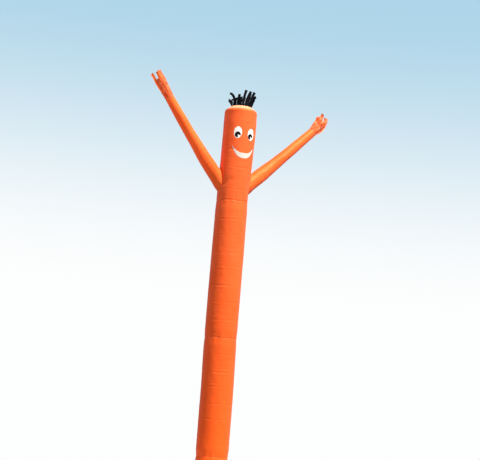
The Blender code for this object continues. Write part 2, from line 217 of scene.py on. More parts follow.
@dataclass
class ClothGrid:
    """Rows of points on one piece of cloth.

    Attributes:
        points: Rows, columns, xyz.
        closed: Whether the last column joins the first.
        width: Flat width of the cloth, for its UV map.
        skip: Faces left out, one flag for each, or none.
    """

    points: Array
    closed: bool
    width: float
    skip: Optional[Array] = None

    def normals(self) -> Array:
        """Outward normals.

        Returns:
            One unit vector for each point.
        """
        across = np.gradient(self.points, axis=1)
        if self.closed:
            across = np.roll(self.points, -1, axis=1) - np.roll(self.points, 1, axis=1)
        return unit(np.cross(across, np.gradient(self.points, axis=0)))

    def lengths(self) -> Array:
        """Distance of each row along the cloth, as the mean of its columns."""
        steps = np.linalg.norm(np.diff(self.points, axis=0), axis=2).mean(axis=1)
        return np.concatenate([[0.0], np.cumsum(steps)])

    def push(self, amount: Array) -> None:
        """Move each point out along its normal."""
        self.points = self.points + self.normals() * amount[..., None]

    def cells(self) -> tuple[Array, Array, int]:
        """Places of the faces in the grid.

        Returns:
            Row and column of each face, and the number of faces across.
        """
        rows, columns = self.points.shape[:2]
        wide = columns if self.closed else columns - 1
        r, c = np.meshgrid(np.arange(rows - 1), np.arange(wide), indexing="ij")
        return r, c, wide

    def kept(self, corners: Array) -> Array:
        """Rows of the faces that aren't left out."""
        return corners if self.skip is None else corners[~self.skip.reshape(-1)]

    def faces(self) -> Array:
        """Corner numbers of the faces.

        Returns:
            Four numbers for each face.
        """
        columns = self.points.shape[1]
        r, c, _ = self.cells()
        n = (c + 1) % columns
        base = r * columns
        quads = np.stack([base + c, base + n, base + columns + n, base + columns + c], axis=-1)
        return self.kept(quads.reshape(-1, 4))

    def uv(self) -> Array:
        """Flat places of the faces' corners.

        Returns:
            Four pairs in metres for each face.
        """
        along = self.lengths()
        r, c, wide = self.cells()
        step = self.width / wide
        left, right, low, high = c * step, (c + 1) * step, along[r], along[r + 1]
        corners = [(left, low), (right, low), (right, high), (left, high)]
        flat = np.stack([np.stack(p, axis=-1) for p in corners], axis=-2)
        return self.kept(flat.reshape(-1, 4, 2))

    def ring(self, row: int, lift: float = THREAD_LIFT) -> "SeamLine":
        """Seam line that runs along one row."""
        normals = self.normals()
        return SeamLine(self.points[row] + normals[row] * lift, normals[row], self.closed)

    def back_seam(self, shift: float, first: int = 0) -> "SeamLine":
        """Seam line that runs along the first column.

        Args:
            shift: Distance of the line to the side of the column.
            first: Row at which the line starts.

        Returns:
            The line, to the last row.
        """
        normals = self.normals()[first:, 0]
        line = self.points[first:, 0]
        side = unit(np.cross(np.gradient(line, axis=0), normals))
        return SeamLine(line + normals * THREAD_LIFT + side * shift, normals, False)


@dataclass
class SeamLine:
    """Line that stitches follow.

    Attributes:
        points: Points of the line.
        normals: The cloth's outward normal at each point.
        closed: Whether the last point joins the first.
    """

    points: Array
    normals: Array
    closed: bool


def mesh_object(name: str, grids: Sequence[ClothGrid], dress: bpy.types.Material,
                weld: float = 0.0) -> bpy.types.Object:
    """Make one object from several cloth grids.

    Args:
        name: Name of the object.
        grids: Grids that are joined in one mesh.
        dress: Material of the mesh.
        weld: Distance under which points are merged, or zero.

    Returns:
        The object, linked to the scene.
    """
    points, faces, flats, start = [], [], [], 0
    for grid in grids:
        points.append(grid.points.reshape(-1, 3))
        faces.append(grid.faces() + start)
        flats.append(grid.uv())
        start += grid.points.shape[0] * grid.points.shape[1]
    mesh = bpy.data.meshes.new(name)
    mesh.from_pydata(np.concatenate(points).tolist(), [], np.concatenate(faces).tolist())
    layer = mesh.uv_layers.new(name=CLOTH_UV)
    layer.uv.foreach_set("vector", np.concatenate(flats).reshape(-1))
    mesh.shade_smooth()
    mesh.materials.append(dress)
    made = bpy.data.objects.new(name, mesh)
    bpy.context.scene.collection.objects.link(made)
    if weld > 0.0:
        join = made.modifiers.new("weld", "WELD")
        join.merge_threshold = weld
        settle(made)
    loose_points(made)
    return made


def settle(made: bpy.types.Object) -> None:
    """Apply every modifier of an object to its mesh.

    Args:
        made: Object that keeps the result as a plain mesh.
    """
    shape = made.evaluated_get(bpy.context.evaluated_depsgraph_get())
    mesh = bpy.data.meshes.new_from_object(shape)
    made.modifiers.clear()
    old = made.data
    made.data = mesh
    mesh.name = made.name
    bpy.data.meshes.remove(old)


def loose_points(made: bpy.types.Object) -> None:
    """Remove the points that no face of the mesh uses.

    Args:
        made: Object whose mesh is cleaned.
    """
    shape = bmesh.new()
    shape.from_mesh(made.data)
    loose = [v for v in shape.verts if not v.link_faces]
    if loose:
        bmesh.ops.delete(shape, geom=loose, context="VERTS")
        shape.to_mesh(made.data)
    shape.free()


# Finishes


def add_node(tree: bpy.types.NodeTree, kind: str, settings: Optional[dict[str, Any]] = None,
             inputs: Optional[dict[Any, Any]] = None) -> bpy.types.Node:
    """Add a node with its settings, values and links.

    Args:
        tree: Tree that takes the node.
        kind: Type name of the node.
        settings: Properties of the node.
        inputs: Value or output socket for each input, by name or number.

    Returns:
        The new node.
    """
    node = tree.nodes.new(kind)
    for key, value in (settings or {}).items():
        setattr(node, key, value)
    for key, value in (inputs or {}).items():
        if isinstance(value, bpy.types.NodeSocket):
            tree.links.new(value, node.inputs[key])
        else:
            node.inputs[key].default_value = value
    return node


def new_tree(name: str) -> tuple[bpy.types.Material, bpy.types.NodeTree]:
    """Start a material without nodes.

    Args:
        name: Name of the material.

    Returns:
        The material and its node tree.
    """
    made = bpy.data.materials.new(name)
    made.use_nodes = True
    made.node_tree.nodes.clear()
    return made, made.node_tree


@dataclass(frozen=True)
class RipstopNylon:
    """Coated ripstop nylon, woven fine with a square of stouter threads.

    The eye gets a crisp, slightly waxy cloth: soft highlights along the folds, light that
    glows through it, faint squares and a crumpled skin.

    Attributes:
        name: Name of the material.
        colour: Dyed colour as sRGB hex.
        deep: Deeper colour of patches and stout threads, as sRGB hex; painted shade on the hands.
        glow: Colour of the light that comes through, as sRGB hex.
        through: Share of the light that passes the cloth.
        rough: Roughness of the coating.
        shine: Strength of its reflections.
        nap: Weight of the soft sheen at grazing angles.
        square: Side of the ripstop square in metres, 8 mm instead of 5 so that it shows.
        thread: Half width of the square's stout threads in metres, drawn coarse so that it shows.
        crumple: Height of the crumpled skin, in metres.
        streak: Height of the fine wrinkles across the cloth, in metres.
        gleam: Tint of the reflections, as sRGB hex.
        top_colour: Colour toward the top, lighter, or none; a painted highlight on the crown's rim.
        fade: Heights in metres between which the colour blends into it.
        mottle: Patches of the deeper colour in a metre.
        deep_share: Share of the deeper colour in the patches.
        stout: Share of the deeper colour in the square's stout threads.
        weave: Scale of the weave: 1.7 mm from thread to thread, drawn coarse so that it shows.
        skin: Crumples of the skin in a metre.
        wrinkles: Fine wrinkles in a metre across the cloth and along it.
    """

    name: str
    colour: str
    deep: str
    glow: str
    through: float
    rough: float
    shine: float
    nap: float = 0.04
    square: float = 0.008
    thread: float = 0.0009
    crumple: float = 0.0012
    streak: float = 0.0070
    gleam: str = "ffffff"
    top_colour: str = ""
    fade: tuple[float, float] = (0.3, 5.2)
    mottle: float = 2.6
    deep_share: float = 0.45
    stout: float = 0.22
    weave: float = 180.0
    skin: float = 16.0
    wrinkles: tuple[float, float] = (2.4, 24.0)

    def make(self) -> bpy.types.Material:
        """Build the material.

        Returns:
            The material.
        """
        made, tree = new_tree(self.name)
        flat = add_node(tree, "ShaderNodeUVMap", {"uv_map": CLOTH_UV}).outputs["UV"]
        place = add_node(tree, "ShaderNodeTexCoord").outputs["Object"]
        parts = add_node(tree, "ShaderNodeSeparateXYZ", None, {0: flat})
        lines = []
        for axis in (0, 1):
            wave = add_node(tree, "ShaderNodeMath", {"operation": "PINGPONG"},
                            {0: parts.outputs[axis], 1: self.square / 2})
            lines.append(add_node(tree, "ShaderNodeMapRange", {"interpolation_type": "SMOOTHSTEP"},
                                  {"Value": wave.outputs[0], "From Min": 0.0,
                                   "From Max": self.thread, "To Min": 1.0, "To Max": 0.0}))
        grid = add_node(tree, "ShaderNodeMath", {"operation": "MAXIMUM"},
                        {0: lines[0].outputs[0], 1: lines[1].outputs[0]})
        weave = []
        for direction in ("X", "Y"):
            weave.append(add_node(tree, "ShaderNodeTexWave",
                                  {"wave_type": "BANDS", "bands_direction": direction},
                                  {"Vector": flat, "Scale": self.weave, "Distortion": 0.4,
                                   "Detail": 1.0}))
        woven = add_node(tree, "ShaderNodeMath", {"operation": "MULTIPLY"},
                         {0: weave[0].outputs["Fac"], 1: weave[1].outputs["Fac"]})
        cloud = add_node(tree, "ShaderNodeTexNoise", None,
                         {"Vector": place, "Scale": self.mottle, "Detail": 3.0, "Roughness": 0.55})
        # Patches of the deeper colour: random tone on most cloths, painted shade and highlights on
        # the hands.
        shade = add_node(tree, "ShaderNodeMapRange", None,
                         {"Value": cloud.outputs["Fac"], "From Min": 0.3, "From Max": 0.75,
                          "To Min": 0.0, "To Max": self.deep_share})
        spot = add_node(tree, "ShaderNodeSeparateXYZ", None, {0: place})
        # Colour blends lighter toward the top; on the crown's rim this is a painted highlight.
        height_share = add_node(tree, "ShaderNodeMapRange", None,
                          {"Value": spot.outputs["Z"], "From Min": self.fade[0],
                           "From Max": self.fade[1]})
        height_colour = add_node(tree, "ShaderNodeMix", {"data_type": "RGBA"},
                       {0: height_share.outputs[0], 6: linear_colour(self.colour),
                        7: linear_colour(self.top_colour or self.colour)})
        tint = add_node(tree, "ShaderNodeMix", {"data_type": "RGBA"},
                        {0: shade.outputs[0], 6: height_colour.outputs[2], 7: linear_colour(self.deep)})
        stout = add_node(tree, "ShaderNodeMath", {"operation": "MULTIPLY"},
                         {0: grid.outputs[0], 1: self.stout})
        coloured = add_node(tree, "ShaderNodeMix", {"data_type": "RGBA"},
                        {0: stout.outputs[0], 6: tint.outputs[2], 7: linear_colour(self.deep)})
        skin = add_node(tree, "ShaderNodeTexNoise", None,
                        {"Vector": place, "Scale": self.skin, "Detail": 5.0, "Roughness": 0.6,
                         "Distortion": 0.6})
        gloss = add_node(tree, "ShaderNodeMapRange", None,
                         {"Value": skin.outputs["Fac"], "To Min": self.rough - 0.07,
                          "To Max": self.rough + 0.09})
        soft = add_node(tree, "ShaderNodeBump", None,
                        {"Height": skin.outputs["Fac"], "Strength": 0.55,
                         "Distance": self.crumple})
        run = add_node(tree, "ShaderNodeMapping", None,
                       {"Vector": flat, "Scale": (*self.wrinkles, 1.0)})
        slack = add_node(tree, "ShaderNodeTexNoise", None,
                         {"Vector": run.outputs[0], "Scale": 1.0, "Detail": 5.0,
                          "Roughness": 0.70, "Distortion": 0.3})
        across = add_node(tree, "ShaderNodeBump", None,
                          {"Height": slack.outputs["Fac"], "Strength": 0.6,
                           "Distance": self.streak, "Normal": soft.outputs[0]})
        squares = add_node(tree, "ShaderNodeBump", None,
                           {"Height": grid.outputs[0], "Strength": 0.5, "Distance": 0.0002,
                            "Normal": across.outputs[0]})
        fine = add_node(tree, "ShaderNodeBump", None,
                        {"Height": woven.outputs[0], "Strength": 0.25, "Distance": 0.0001,
                         "Normal": squares.outputs[0]})
        body = add_node(tree, "ShaderNodeBsdfPrincipled", None,
                        {"Base Color": coloured.outputs[2], "Roughness": gloss.outputs[0],
                         "Specular IOR Level": self.shine,
                         "Specular Tint": linear_colour(self.gleam), "Sheen Weight": self.nap,
                         "Sheen Roughness": 0.4, "Normal": fine.outputs[0]})
        light = add_node(tree, "ShaderNodeBsdfTranslucent", None,
                         {"Color": linear_colour(self.glow), "Normal": fine.outputs[0]})
        both = add_node(tree, "ShaderNodeMixShader", None,
                        {0: self.through, 1: body.outputs[0], 2: light.outputs[0]})
        add_node(tree, "ShaderNodeOutputMaterial", None, {"Surface": both.outputs[0]})
        made.diffuse_color = linear_colour(self.colour)
        return made


@dataclass(frozen=True)
class SewingThread:
    """Bonded polyester thread, twisted from strands.

    The eye gets short raised dashes, a little glossier than the cloth and lined across.

    Attributes:
        name: Name of the material.
        colour: Dyed colour as sRGB hex.
        rough: Roughness of the bonded thread.
        twist: Scale of its strands: 0.7 mm from one to the next.
    """

    name: str
    colour: str
    rough: float = 0.38
    twist: float = 420.0

    def make(self) -> bpy.types.Material:
        """Build the material.

        Returns:
            The material.
        """
        made, tree = new_tree(self.name)
        place = add_node(tree, "ShaderNodeTexCoord").outputs["Object"]
        twist = add_node(tree, "ShaderNodeTexWave",
                         {"wave_type": "BANDS", "bands_direction": "DIAGONAL"},
                         {"Vector": place, "Scale": self.twist, "Distortion": 0.5})
        lift = add_node(tree, "ShaderNodeBump", None,
                        {"Height": twist.outputs["Fac"], "Strength": 0.5, "Distance": 0.0002})
        cloud = add_node(tree, "ShaderNodeTexNoise", None, {"Vector": place, "Scale": 60.0})
        pale = [min(c * 1.25, 1.0) for c in linear_colour(self.colour)[:3]] + [1.0]
        coloured = add_node(tree, "ShaderNodeMix", {"data_type": "RGBA"},
                        {0: cloud.outputs["Fac"], 6: linear_colour(self.colour), 7: pale})
        body = add_node(tree, "ShaderNodeBsdfPrincipled", None,
                        {"Base Color": coloured.outputs[2], "Roughness": self.rough,
                         "Normal": lift.outputs[0]})
        add_node(tree, "ShaderNodeOutputMaterial", None, {"Surface": body.outputs[0]})
        return made


FINISHES = {
    Cloth.ORANGE: RipstopNylon("orange ripstop nylon", "ef5c1f", "e24e17", "ff7c2c", through=0.20,
                               rough=0.50, shine=0.34, gleam="ffb860", top_colour="f46a38"),
    Cloth.NAVY: RipstopNylon("navy ripstop nylon", "08080f", "04040a", "06070f", through=0.02,
                             rough=0.62, shine=0.07, nap=0.0),
    Cloth.WHITE: RipstopNylon("white ripstop nylon", "cfc5bb", "c3b7ab", "ffdcc8", through=0.12,
                              rough=0.60, shine=0.15, crumple=0.0008, streak=0.0008),
    Cloth.BLACK: RipstopNylon("black ripstop nylon", "07070a", "040406", "060608", through=0.01,
                              rough=0.60, shine=0.07, nap=0.0, crumple=0.0006, streak=0.0004),
}
# The crown's rim, where the sun strikes the top of the head, is painted a pale peach: a painted
# highlight.
CROWN_HIGHLIGHT_CLOTH = replace(FINISHES[Cloth.ORANGE], name="orange ripstop nylon with painted highlight",
                      colour="f46a38", top_colour="ffc096", fade=(5.385, 5.435))
# The arms are narrow, so more light comes through them: they glow warmer and shine more.
ARM_CLOTH = replace(FINISHES[Cloth.ORANGE], name="thin orange ripstop nylon", top_colour="f67a38",
                    through=0.32, glow="ff7220", rough=0.48, shine=0.38, gleam="ffd27a")
# The loose strips are crumpled; their deep red and pale patches are painted shade and highlights.
HAND_PAINTED_SHADE_CLOTH = replace(ARM_CLOTH, name="crumpled orange ripstop nylon with painted shade", top_colour="ff8a58",
                     deep="b8370f", mottle=24.0, deep_share=1.0, crumple=0.0030)
# The eyes turn from the sun, so they get a whiter copy of the smile's cloth: painted light against
# their shade.
EYE_BRIGHTENED_CLOTH = replace(FINISHES[Cloth.WHITE], name="white ripstop nylon brightened against shade", colour="f2ece4",
                    deep="e6ddd3")
THREADS = {
    Cloth.ORANGE: SewingThread("orange polyester thread", "f0662f"),
    Cloth.NAVY: SewingThread("navy polyester thread", "0b0c16"),
    Cloth.WHITE: SewingThread("white polyester thread", "f4efe6"),
    Cloth.BLACK: SewingThread("black polyester thread", "0c0c10"),
}


@dataclass
class Wardrobe:
    """Materials that the pieces share.

    Attributes:
        made: Materials made so far, by the name of the finish.
    """

    made: dict[str, bpy.types.Material] = field(default_factory=dict)

    def get(self, finish: Any) -> bpy.types.Material:
        """Material of a finish, built the first time that it is asked for.

        Args:
            finish: Finish of a cloth or a thread.

        Returns:
            Its material, the same one each time.
        """
        if finish.name not in self.made:
            self.made[finish.name] = finish.make()
        return self.made[finish.name]


WARDROBE = Wardrobe()


# Stitches, repeated by Geometry Nodes


@dataclass(frozen=True)
class StitchRow:
    """Stitches laid along seam lines by a Geometry Nodes tree.

    Attributes:
        pitch: Distance from one stitch to the next.
        length: Length of a stitch.
        thread: Thickness of the thread.
        sew: Straight or zigzag stitches.
    """

    pitch: float = 0.006
    length: float = 0.0044
    thread: float = 0.0011
    sew: Sew = Sew.STRAIGHT

    def tree(self, dress: bpy.types.Material) -> bpy.types.NodeTree:
        """Build the tree that lays the stitches.

        Args:
            dress: Material of the thread.

        Returns:
            The node tree, with named inputs for its sizes.
        """
        tree = bpy.data.node_groups.new("stitches", "GeometryNodeTree")
        face = tree.interface
        face.new_socket("Geometry", in_out="INPUT", socket_type="NodeSocketGeometry")
        for name in ("Pitch", "Stitch Length", "Thread", "Slant"):
            face.new_socket(name, in_out="INPUT", socket_type="NodeSocketFloat")
        face.new_socket("Geometry", in_out="OUTPUT", socket_type="NodeSocketGeometry")
        given = add_node(tree, "NodeGroupInput").outputs
        line = add_node(tree, "GeometryNodeMeshToCurve", None, {0: given["Geometry"]})
        even = add_node(tree, "GeometryNodeResampleCurve", {"mode": "LENGTH"},
                        {"Curve": line.outputs[0], "Length": given["Pitch"]})
        bead = add_node(tree, "GeometryNodeMeshUVSphere", None,
                        {"Segments": 6, "Rings": 4, "Radius": 0.5})
        size = add_node(tree, "ShaderNodeCombineXYZ", None,
                        {0: given["Stitch Length"], 1: given["Thread"], 2: given["Thread"]})
        shaped = add_node(tree, "GeometryNodeTransform", None,
                          {"Geometry": bead.outputs[0], "Scale": size.outputs[0]})
        normal = add_node(tree, "GeometryNodeInputNamedAttribute", {"data_type": "FLOAT_VECTOR"},
                          {"Name": NORMAL})
        stand = add_node(tree, "FunctionNodeAlignRotationToVector", {"axis": "Z"},
                         {"Vector": normal.outputs[0]})
        tangent = add_node(tree, "GeometryNodeInputTangent")
        follow = add_node(tree, "FunctionNodeAlignRotationToVector",
                          {"axis": "X", "pivot_axis": "Z"},
                          {"Rotation": stand.outputs[0], "Vector": tangent.outputs[0]})
        number = add_node(tree, "GeometryNodeInputIndex")
        odd = add_node(tree, "ShaderNodeMath", {"operation": "MODULO"},
                       {0: number.outputs[0], 1: 2.0})
        flip = add_node(tree, "ShaderNodeMath", {"operation": "MULTIPLY_ADD"},
                        {0: odd.outputs[0], 1: 2.0, 2: -1.0})
        slant = add_node(tree, "ShaderNodeMath", {"operation": "MULTIPLY"},
                         {0: flip.outputs[0], 1: given["Slant"]})
        turn = add_node(tree, "FunctionNodeAxisAngleToRotation", None,
                        {"Axis": (0.0, 0.0, 1.0), "Angle": slant.outputs[0]})
        laid = add_node(tree, "FunctionNodeRotateRotation", {"rotation_space": "LOCAL"},
                        {0: follow.outputs[0], 1: turn.outputs[0]})
        many = add_node(tree, "GeometryNodeInstanceOnPoints", None,
                        {"Points": even.outputs[0], "Instance": shaped.outputs[0],
                         "Rotation": laid.outputs[0]})
        real = add_node(tree, "GeometryNodeRealizeInstances", None, {0: many.outputs[0]})
        smooth = add_node(tree, "GeometryNodeSetShadeSmooth", None, {0: real.outputs[0]})
        coloured = add_node(tree, "GeometryNodeSetMaterial", None,
                        {"Geometry": smooth.outputs[0], "Material": dress})
        add_node(tree, "NodeGroupOutput", None, {0: coloured.outputs[0]})
        return tree

    def lay(self, name: str, lines: Sequence[SeamLine], cloth: Cloth) -> bpy.types.Object:
        """Sew the lines and attach the thread to the object.

        Args:
            name: Name of the piece.
            lines: Seam lines to follow.
            cloth: Cloth that the thread is matched to.

        Returns:
            The thread as one plain mesh.
        """
        points, normals, edges, start = [], [], [], 0
        for line in lines:
            count = len(line.points)
            points.append(line.points)
            normals.append(line.normals)
            last = count if line.closed else count - 1
            edges += [(start + k, start + (k + 1) % count) for k in range(last)]
            start += count
        mesh = bpy.data.meshes.new(name)
        mesh.from_pydata(np.concatenate(points).tolist(), edges, [])
        layer = mesh.attributes.new(NORMAL, "FLOAT_VECTOR", "POINT")
        layer.data.foreach_set("vector", np.concatenate(normals).reshape(-1))
        made = bpy.data.objects.new(name, mesh)
        bpy.context.scene.collection.objects.link(made)
        sewing = made.modifiers.new("stitches", "NODES")
        sewing.node_group = self.tree(WARDROBE.get(THREADS[cloth]))
        sizes = {"Pitch": self.pitch, "Stitch Length": self.length, "Thread": self.thread,
                 "Slant": math.radians(self.sew.value)}
        for item in sewing.node_group.interface.items_tree:
            if item.in_out == "INPUT" and item.name in sizes:
                sewing[item.identifier] = sizes[item.name]
        settle(made)
        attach(made, BODY)
        report(made)
        return made


def report(made: bpy.types.Object) -> None:
    """Log the name and the number of triangles of a finished piece."""
    made.data.calc_loop_triangles()
    LOG.info("%s: %d triangles", made.name, len(made.data.loop_triangles))


@dataclass(frozen=True)
class Sheet:
    """Facts of one piece of cloth, and how it joins the frame.

    Attributes:
        node: Solid that the cloth stands for.
        cloth: Cloth that it is cut from; not used.
        flat: Width and length of the cut; not used.
        held: How it keeps its shape; not used.
        area: Flat area where the cut isn't a rectangle, or none; not used.
    """

    node: str
    cloth: Cloth
    flat: tuple[float, float]
    held: Held
    area: Optional[float] = None

    def sew(self, grids: Sequence[ClothGrid], finish: RipstopNylon,
            rests_on: Sequence[str] = (), weld: float = 0.0) -> bpy.types.Object:
        """Args:
            grids: Points of the piece.
            finish: Finish of its cloth.
            rests_on: Names of the pieces that it is sewn to; not used.
            weld: Distance under which points are merged, or zero.

        Returns:
            The piece of cloth.
        """
        made = mesh_object("cloth_" + self.node, grids, WARDROBE.get(finish), weld)
        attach(made, BODY)
        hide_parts(self.node)
        report(made)
        return made


# The filled tube


@dataclass(frozen=True)
class Port:
    """Place where an arm opens out of the tube.

    Attributes:
        centre: Point on the arm's middle line.
        along: Direction of the arm, outward.
        radius: Radius of the sewn root.
        hole: Radius of the opening.
        depth: How far inward of the centre the tube still counts as the arm's side.
    """

    centre: Vector
    along: Vector
    radius: float
    hole: float
    depth: float = 0.32

    def reach(self, points: Array) -> tuple[Array, Array, Array]:
        """Distance from the arm's line, angle round it, and which side of the tube.

        Args:
            points: Points of the tube, xyz last.

        Returns:
            Distance, angle, and a weight of one on the arm's side of the tube.
        """
        along = np.array(self.along)
        offset = points - np.array(self.centre)
        run = offset @ along
        side = unit(np.cross((0.0, 0.0, 1.0), along))
        up = np.cross(along, side)
        flat = offset - run[..., None] * along
        angle = np.arctan2(flat @ side, flat @ up)
        return np.linalg.norm(flat, axis=-1), angle, (run > -self.depth).astype(float)


@dataclass
class AirTube:
    """Shape of the whole filled tube, from the foot to its head seam.

    Attributes:
        axis: Place of the tube's middle line at the foot.
        girth: Height and diameter, narrower at seams and under the arms.
        bow: Height and sideways wander of the middle line.
        seams: Heights of the seams between the panels.
        creases: Height, depth, tilt and heading of each fold crease.
        dents: Angle from the front, height, width, half height and depth of local folds.
        ports: Places where the arms open out.
        seam_wave: Height of a seam's rise and fall round the tube.
        seam_waves: Waves of it round the tube.
        seam_reach: Height over which that swing dies out.
        uneven: Depth of the tube's broad unevenness.
        skin: Depth of its finer unevenness.
        dip: Depth of the groove at a seam.
        dip_width: Half width of the groove.
        gather: Height of the puckers and folds beside a seam.
        pucker_start: Height over which the puckers begin.
        pucker_reach: Height over which the puckers die out.
        fold_reach: Height over which the folds die out.
        wander: Rise and fall of a crease round the tube.
        lip: Share of a crease's depth that stands up beside it.
        pull: Depth of the groove round an arm's root.
        pull_width: Half width of the groove.
        hollow: Depth of the wider hollow round it.
        hollow_reach: Distance over which the hollow and its folds die out.
        root_folds: Height of the folds round an arm's root.
        slide_limit: Longest way that a point slides to the tube.
        slide_steps: Halvings of that way.
    """

    axis: tuple[float, float] = (-0.08667, -0.04094)
    girth: Rows = (
        (0.000, 0.464), (0.300, 0.465), (0.405, 0.448), (0.520, 0.466), (1.950, 0.466),
        (2.075, 0.455), (2.200, 0.466), (3.200, 0.466), (3.600, 0.463), (3.900, 0.462),
        (4.050, 0.449), (4.140, 0.451), (4.500, 0.464), (4.750, 0.466), (5.000, 0.475),
        (5.200, 0.479), (5.345, 0.472),
    )
    bow: Rows = (
        (0.00, 0.000), (1.20, -0.004), (2.10, -0.020), (4.10, -0.021), (4.75, -0.003),
        (5.10, 0.004), (5.60, 0.001),
    )
    seams: Sequence[float] = (0.405, 2.075, 4.050)
    creases: Rows = (
        (0.200, 0.0020, 0.004, 40), (0.655, 0.0026, 0.006, 200), (0.930, 0.0020, 0.003, 90),
        (1.140, 0.0026, 0.005, 310), (1.380, 0.0028, 0.007, 20), (1.590, 0.0034, 0.006, 150),
        (1.840, 0.0022, 0.004, 260), (2.325, 0.0026, 0.006, 70), (2.580, 0.0022, 0.004, 180),
        (2.810, 0.0026, 0.005, 330), (3.040, 0.0022, 0.005, 110), (3.285, 0.0026, 0.006, 230),
        (3.540, 0.0022, 0.004, 10), (3.775, 0.0030, 0.007, 140), (4.208, 0.0018, 0.005, 60),
        (4.530, 0.0018, 0.006, 300), (4.760, 0.0010, 0.004, 30), (5.245, 0.0010, 0.004, 100),
    )
    dents: Rows = (
        (-28.0, 5.098, 14.0, 0.007, 0.0026), (-44.0, 4.795, 12.0, 0.020, 0.0035),
        (-62.0, 4.300, 24.0, 0.050, 0.0060), (-34.0, 4.345, 12.0, 0.030, 0.0045),
    )
    ports: list[Port] = field(default_factory=list)
    seam_wave: float = 0.005
    seam_waves: int = 5
    seam_reach: float = 0.10
    uneven: float = 0.0012
    skin: float = 0.0004
    dip: float = 0.0040
    dip_width: float = 0.009
    gather: float = 0.0020
    pucker_start: float = 0.006
    pucker_reach: float = 0.022
    fold_reach: float = 0.075
    wander: float = 0.003
    lip: float = 0.35
    pull: float = 0.0065
    pull_width: float = 0.022
    hollow: float = 0.0030
    hollow_reach: float = 0.05
    root_folds: float = 0.0022
    slide_limit: float = 0.60
    slide_steps: int = 26

    def swing(self, turn: Array, z: Array) -> Array:
        """Rise and fall of the puckered seams round the tube.

        Args:
            turn: Angle from the front toward +X, in radians.
            z: Height.

        Returns:
            One rise for each pair.
        """
        total = np.zeros(np.broadcast(turn, z).shape)
        for seam in self.seams:
            fade = np.clip(1.0 - np.abs(z - seam) / self.seam_reach, 0.0, None)
            wave = np.sin(self.seam_waves * turn + 9.0 * seam)
            wave = wave + 0.6 * np.sin((self.seam_waves + 3) * turn + 4.0 * seam)
            total = total + self.seam_wave * fade * wave
        return total

    def radius(self, turn: Array, z: Array) -> Array:
        """Distance of the cloth from the middle line.

        Args:
            turn: Angle from the front toward +X, in radians.
            z: Height, before the seams' swing.

        Returns:
            One radius for each pair.
        """
        size = eased(self.girth, z) / 2
        size = size + self.uneven * Ripples(11, 2, 6, 1.6).at(turn, z)
        size = size + self.skin * Ripples(12, 7, 15, 6.0).at(turn, z)
        for k, seam in enumerate(self.seams):
            gap = z - seam
            near = np.abs(gap)
            size = size - self.dip * bell(gap, self.dip_width)
            puckers = np.where(gap > 0, Ripples(20 + k, 22, 44).at(turn, z),
                               Ripples(30 + k, 22, 44).at(turn, z))
            begun = np.clip(near / self.pucker_start, 0, 1)
            size = size + self.gather * np.exp(-near / self.pucker_reach) * begun * puckers
            folds = Ripples(40 + k, 8, 20, 1.0).at(turn, z)
            size = size + self.gather * np.exp(-near / self.fold_reach) * folds
        for k, (height, depth, tilt, heading) in enumerate(self.creases):
            middle = height + tilt * np.cos(turn - math.radians(heading))
            middle = middle + self.wander * Ripples(60 + k, 2, 7).at(turn, z)
            strength = np.clip(0.30 + 0.45 * Ripples(90 + k, 1, 5).at(turn, z), 0.15, 1.4)
            size = size - depth * strength * crease(z - middle, self.lip)
        for angle, height, wide, tall, depth in self.dents:
            away = (np.degrees(turn) - angle + 180) % 360 - 180
            size = size - depth * bell(away, wide) * bell(z - height, tall)
        return size

    def point(self, turn: Array, z: Array, lift: float = 0.0) -> Array:
        """Points of the cloth.

        Args:
            turn: Angle from the front toward +X, in radians.
            z: Height, before the seams' swing.
            lift: Height of the points over the cloth.

        Returns:
            One point for each pair.
        """
        size = self.radius(turn, z) + lift
        middle = eased(self.bow, z)
        x = self.axis[0] + middle + size * np.sin(turn)
        y = self.axis[1] - size * np.cos(turn)
        spots = np.stack([x, y, z + self.swing(turn, z)], axis=-1)
        return self.drawn_in(spots)

    def drawn_in(self, spots: Array) -> Array:
        """Pull the cloth in where the arms' seams gather it.

        Args:
            spots: Points of the tube, xyz last.

        Returns:
            The points in their new places.
        """
        for k, port in enumerate(self.ports):
            far, angle, near_side = port.reach(spots)
            edge = far - port.radius
            fade = np.exp(-np.abs(edge) / self.hollow_reach)
            pull = self.pull * bell(edge, self.pull_width) + self.hollow * fade
            folds = Ripples(120 + k, 7, 16).at(angle, far)
            pull = (pull + self.root_folds * fade * folds) * near_side
            inward = np.zeros_like(spots)
            inward[..., 0] = self.axis[0] + eased(self.bow, spots[..., 2]) - spots[..., 0]
            inward[..., 1] = self.axis[1] - spots[..., 1]
            spots = spots + unit(inward) * pull[..., None]
        return spots

    def clear(self, spots: Array, gap: float) -> Array:
        """Whether points stand clear of the tube.

        Args:
            spots: Points, xyz last.
            gap: Distance that they keep.

        Returns:
            One flag for each point.
        """
        middle = eased(self.bow, spots[..., 2])
        dx = spots[..., 0] - self.axis[0] - middle
        dy = spots[..., 1] - self.axis[1]
        turn = np.arctan2(dx, -dy)
        cloth = self.point(turn, spots[..., 2])
        size = np.hypot(cloth[..., 0] - self.axis[0] - middle, cloth[..., 1] - self.axis[1])
        return np.hypot(dx, dy) > size + gap

    def slide(self, spots: Array, along: Array, gap: float) -> Array:
        """Slide points back along a line until they rest on the cloth.

        Args:
            spots: Points outside the tube.
            along: Direction away from the tube.
            gap: Distance that is kept.

        Returns:
            The points at rest.
        """
        near = np.zeros(len(spots))
        far = np.full(len(spots), self.slide_limit)
        for _ in range(self.slide_steps):
            step = (near + far) / 2
            free = self.clear(spots - along * step[:, None], gap)
            near = np.where(free, step, near)
            far = np.where(free, far, step)
        return spots - along * near[:, None]


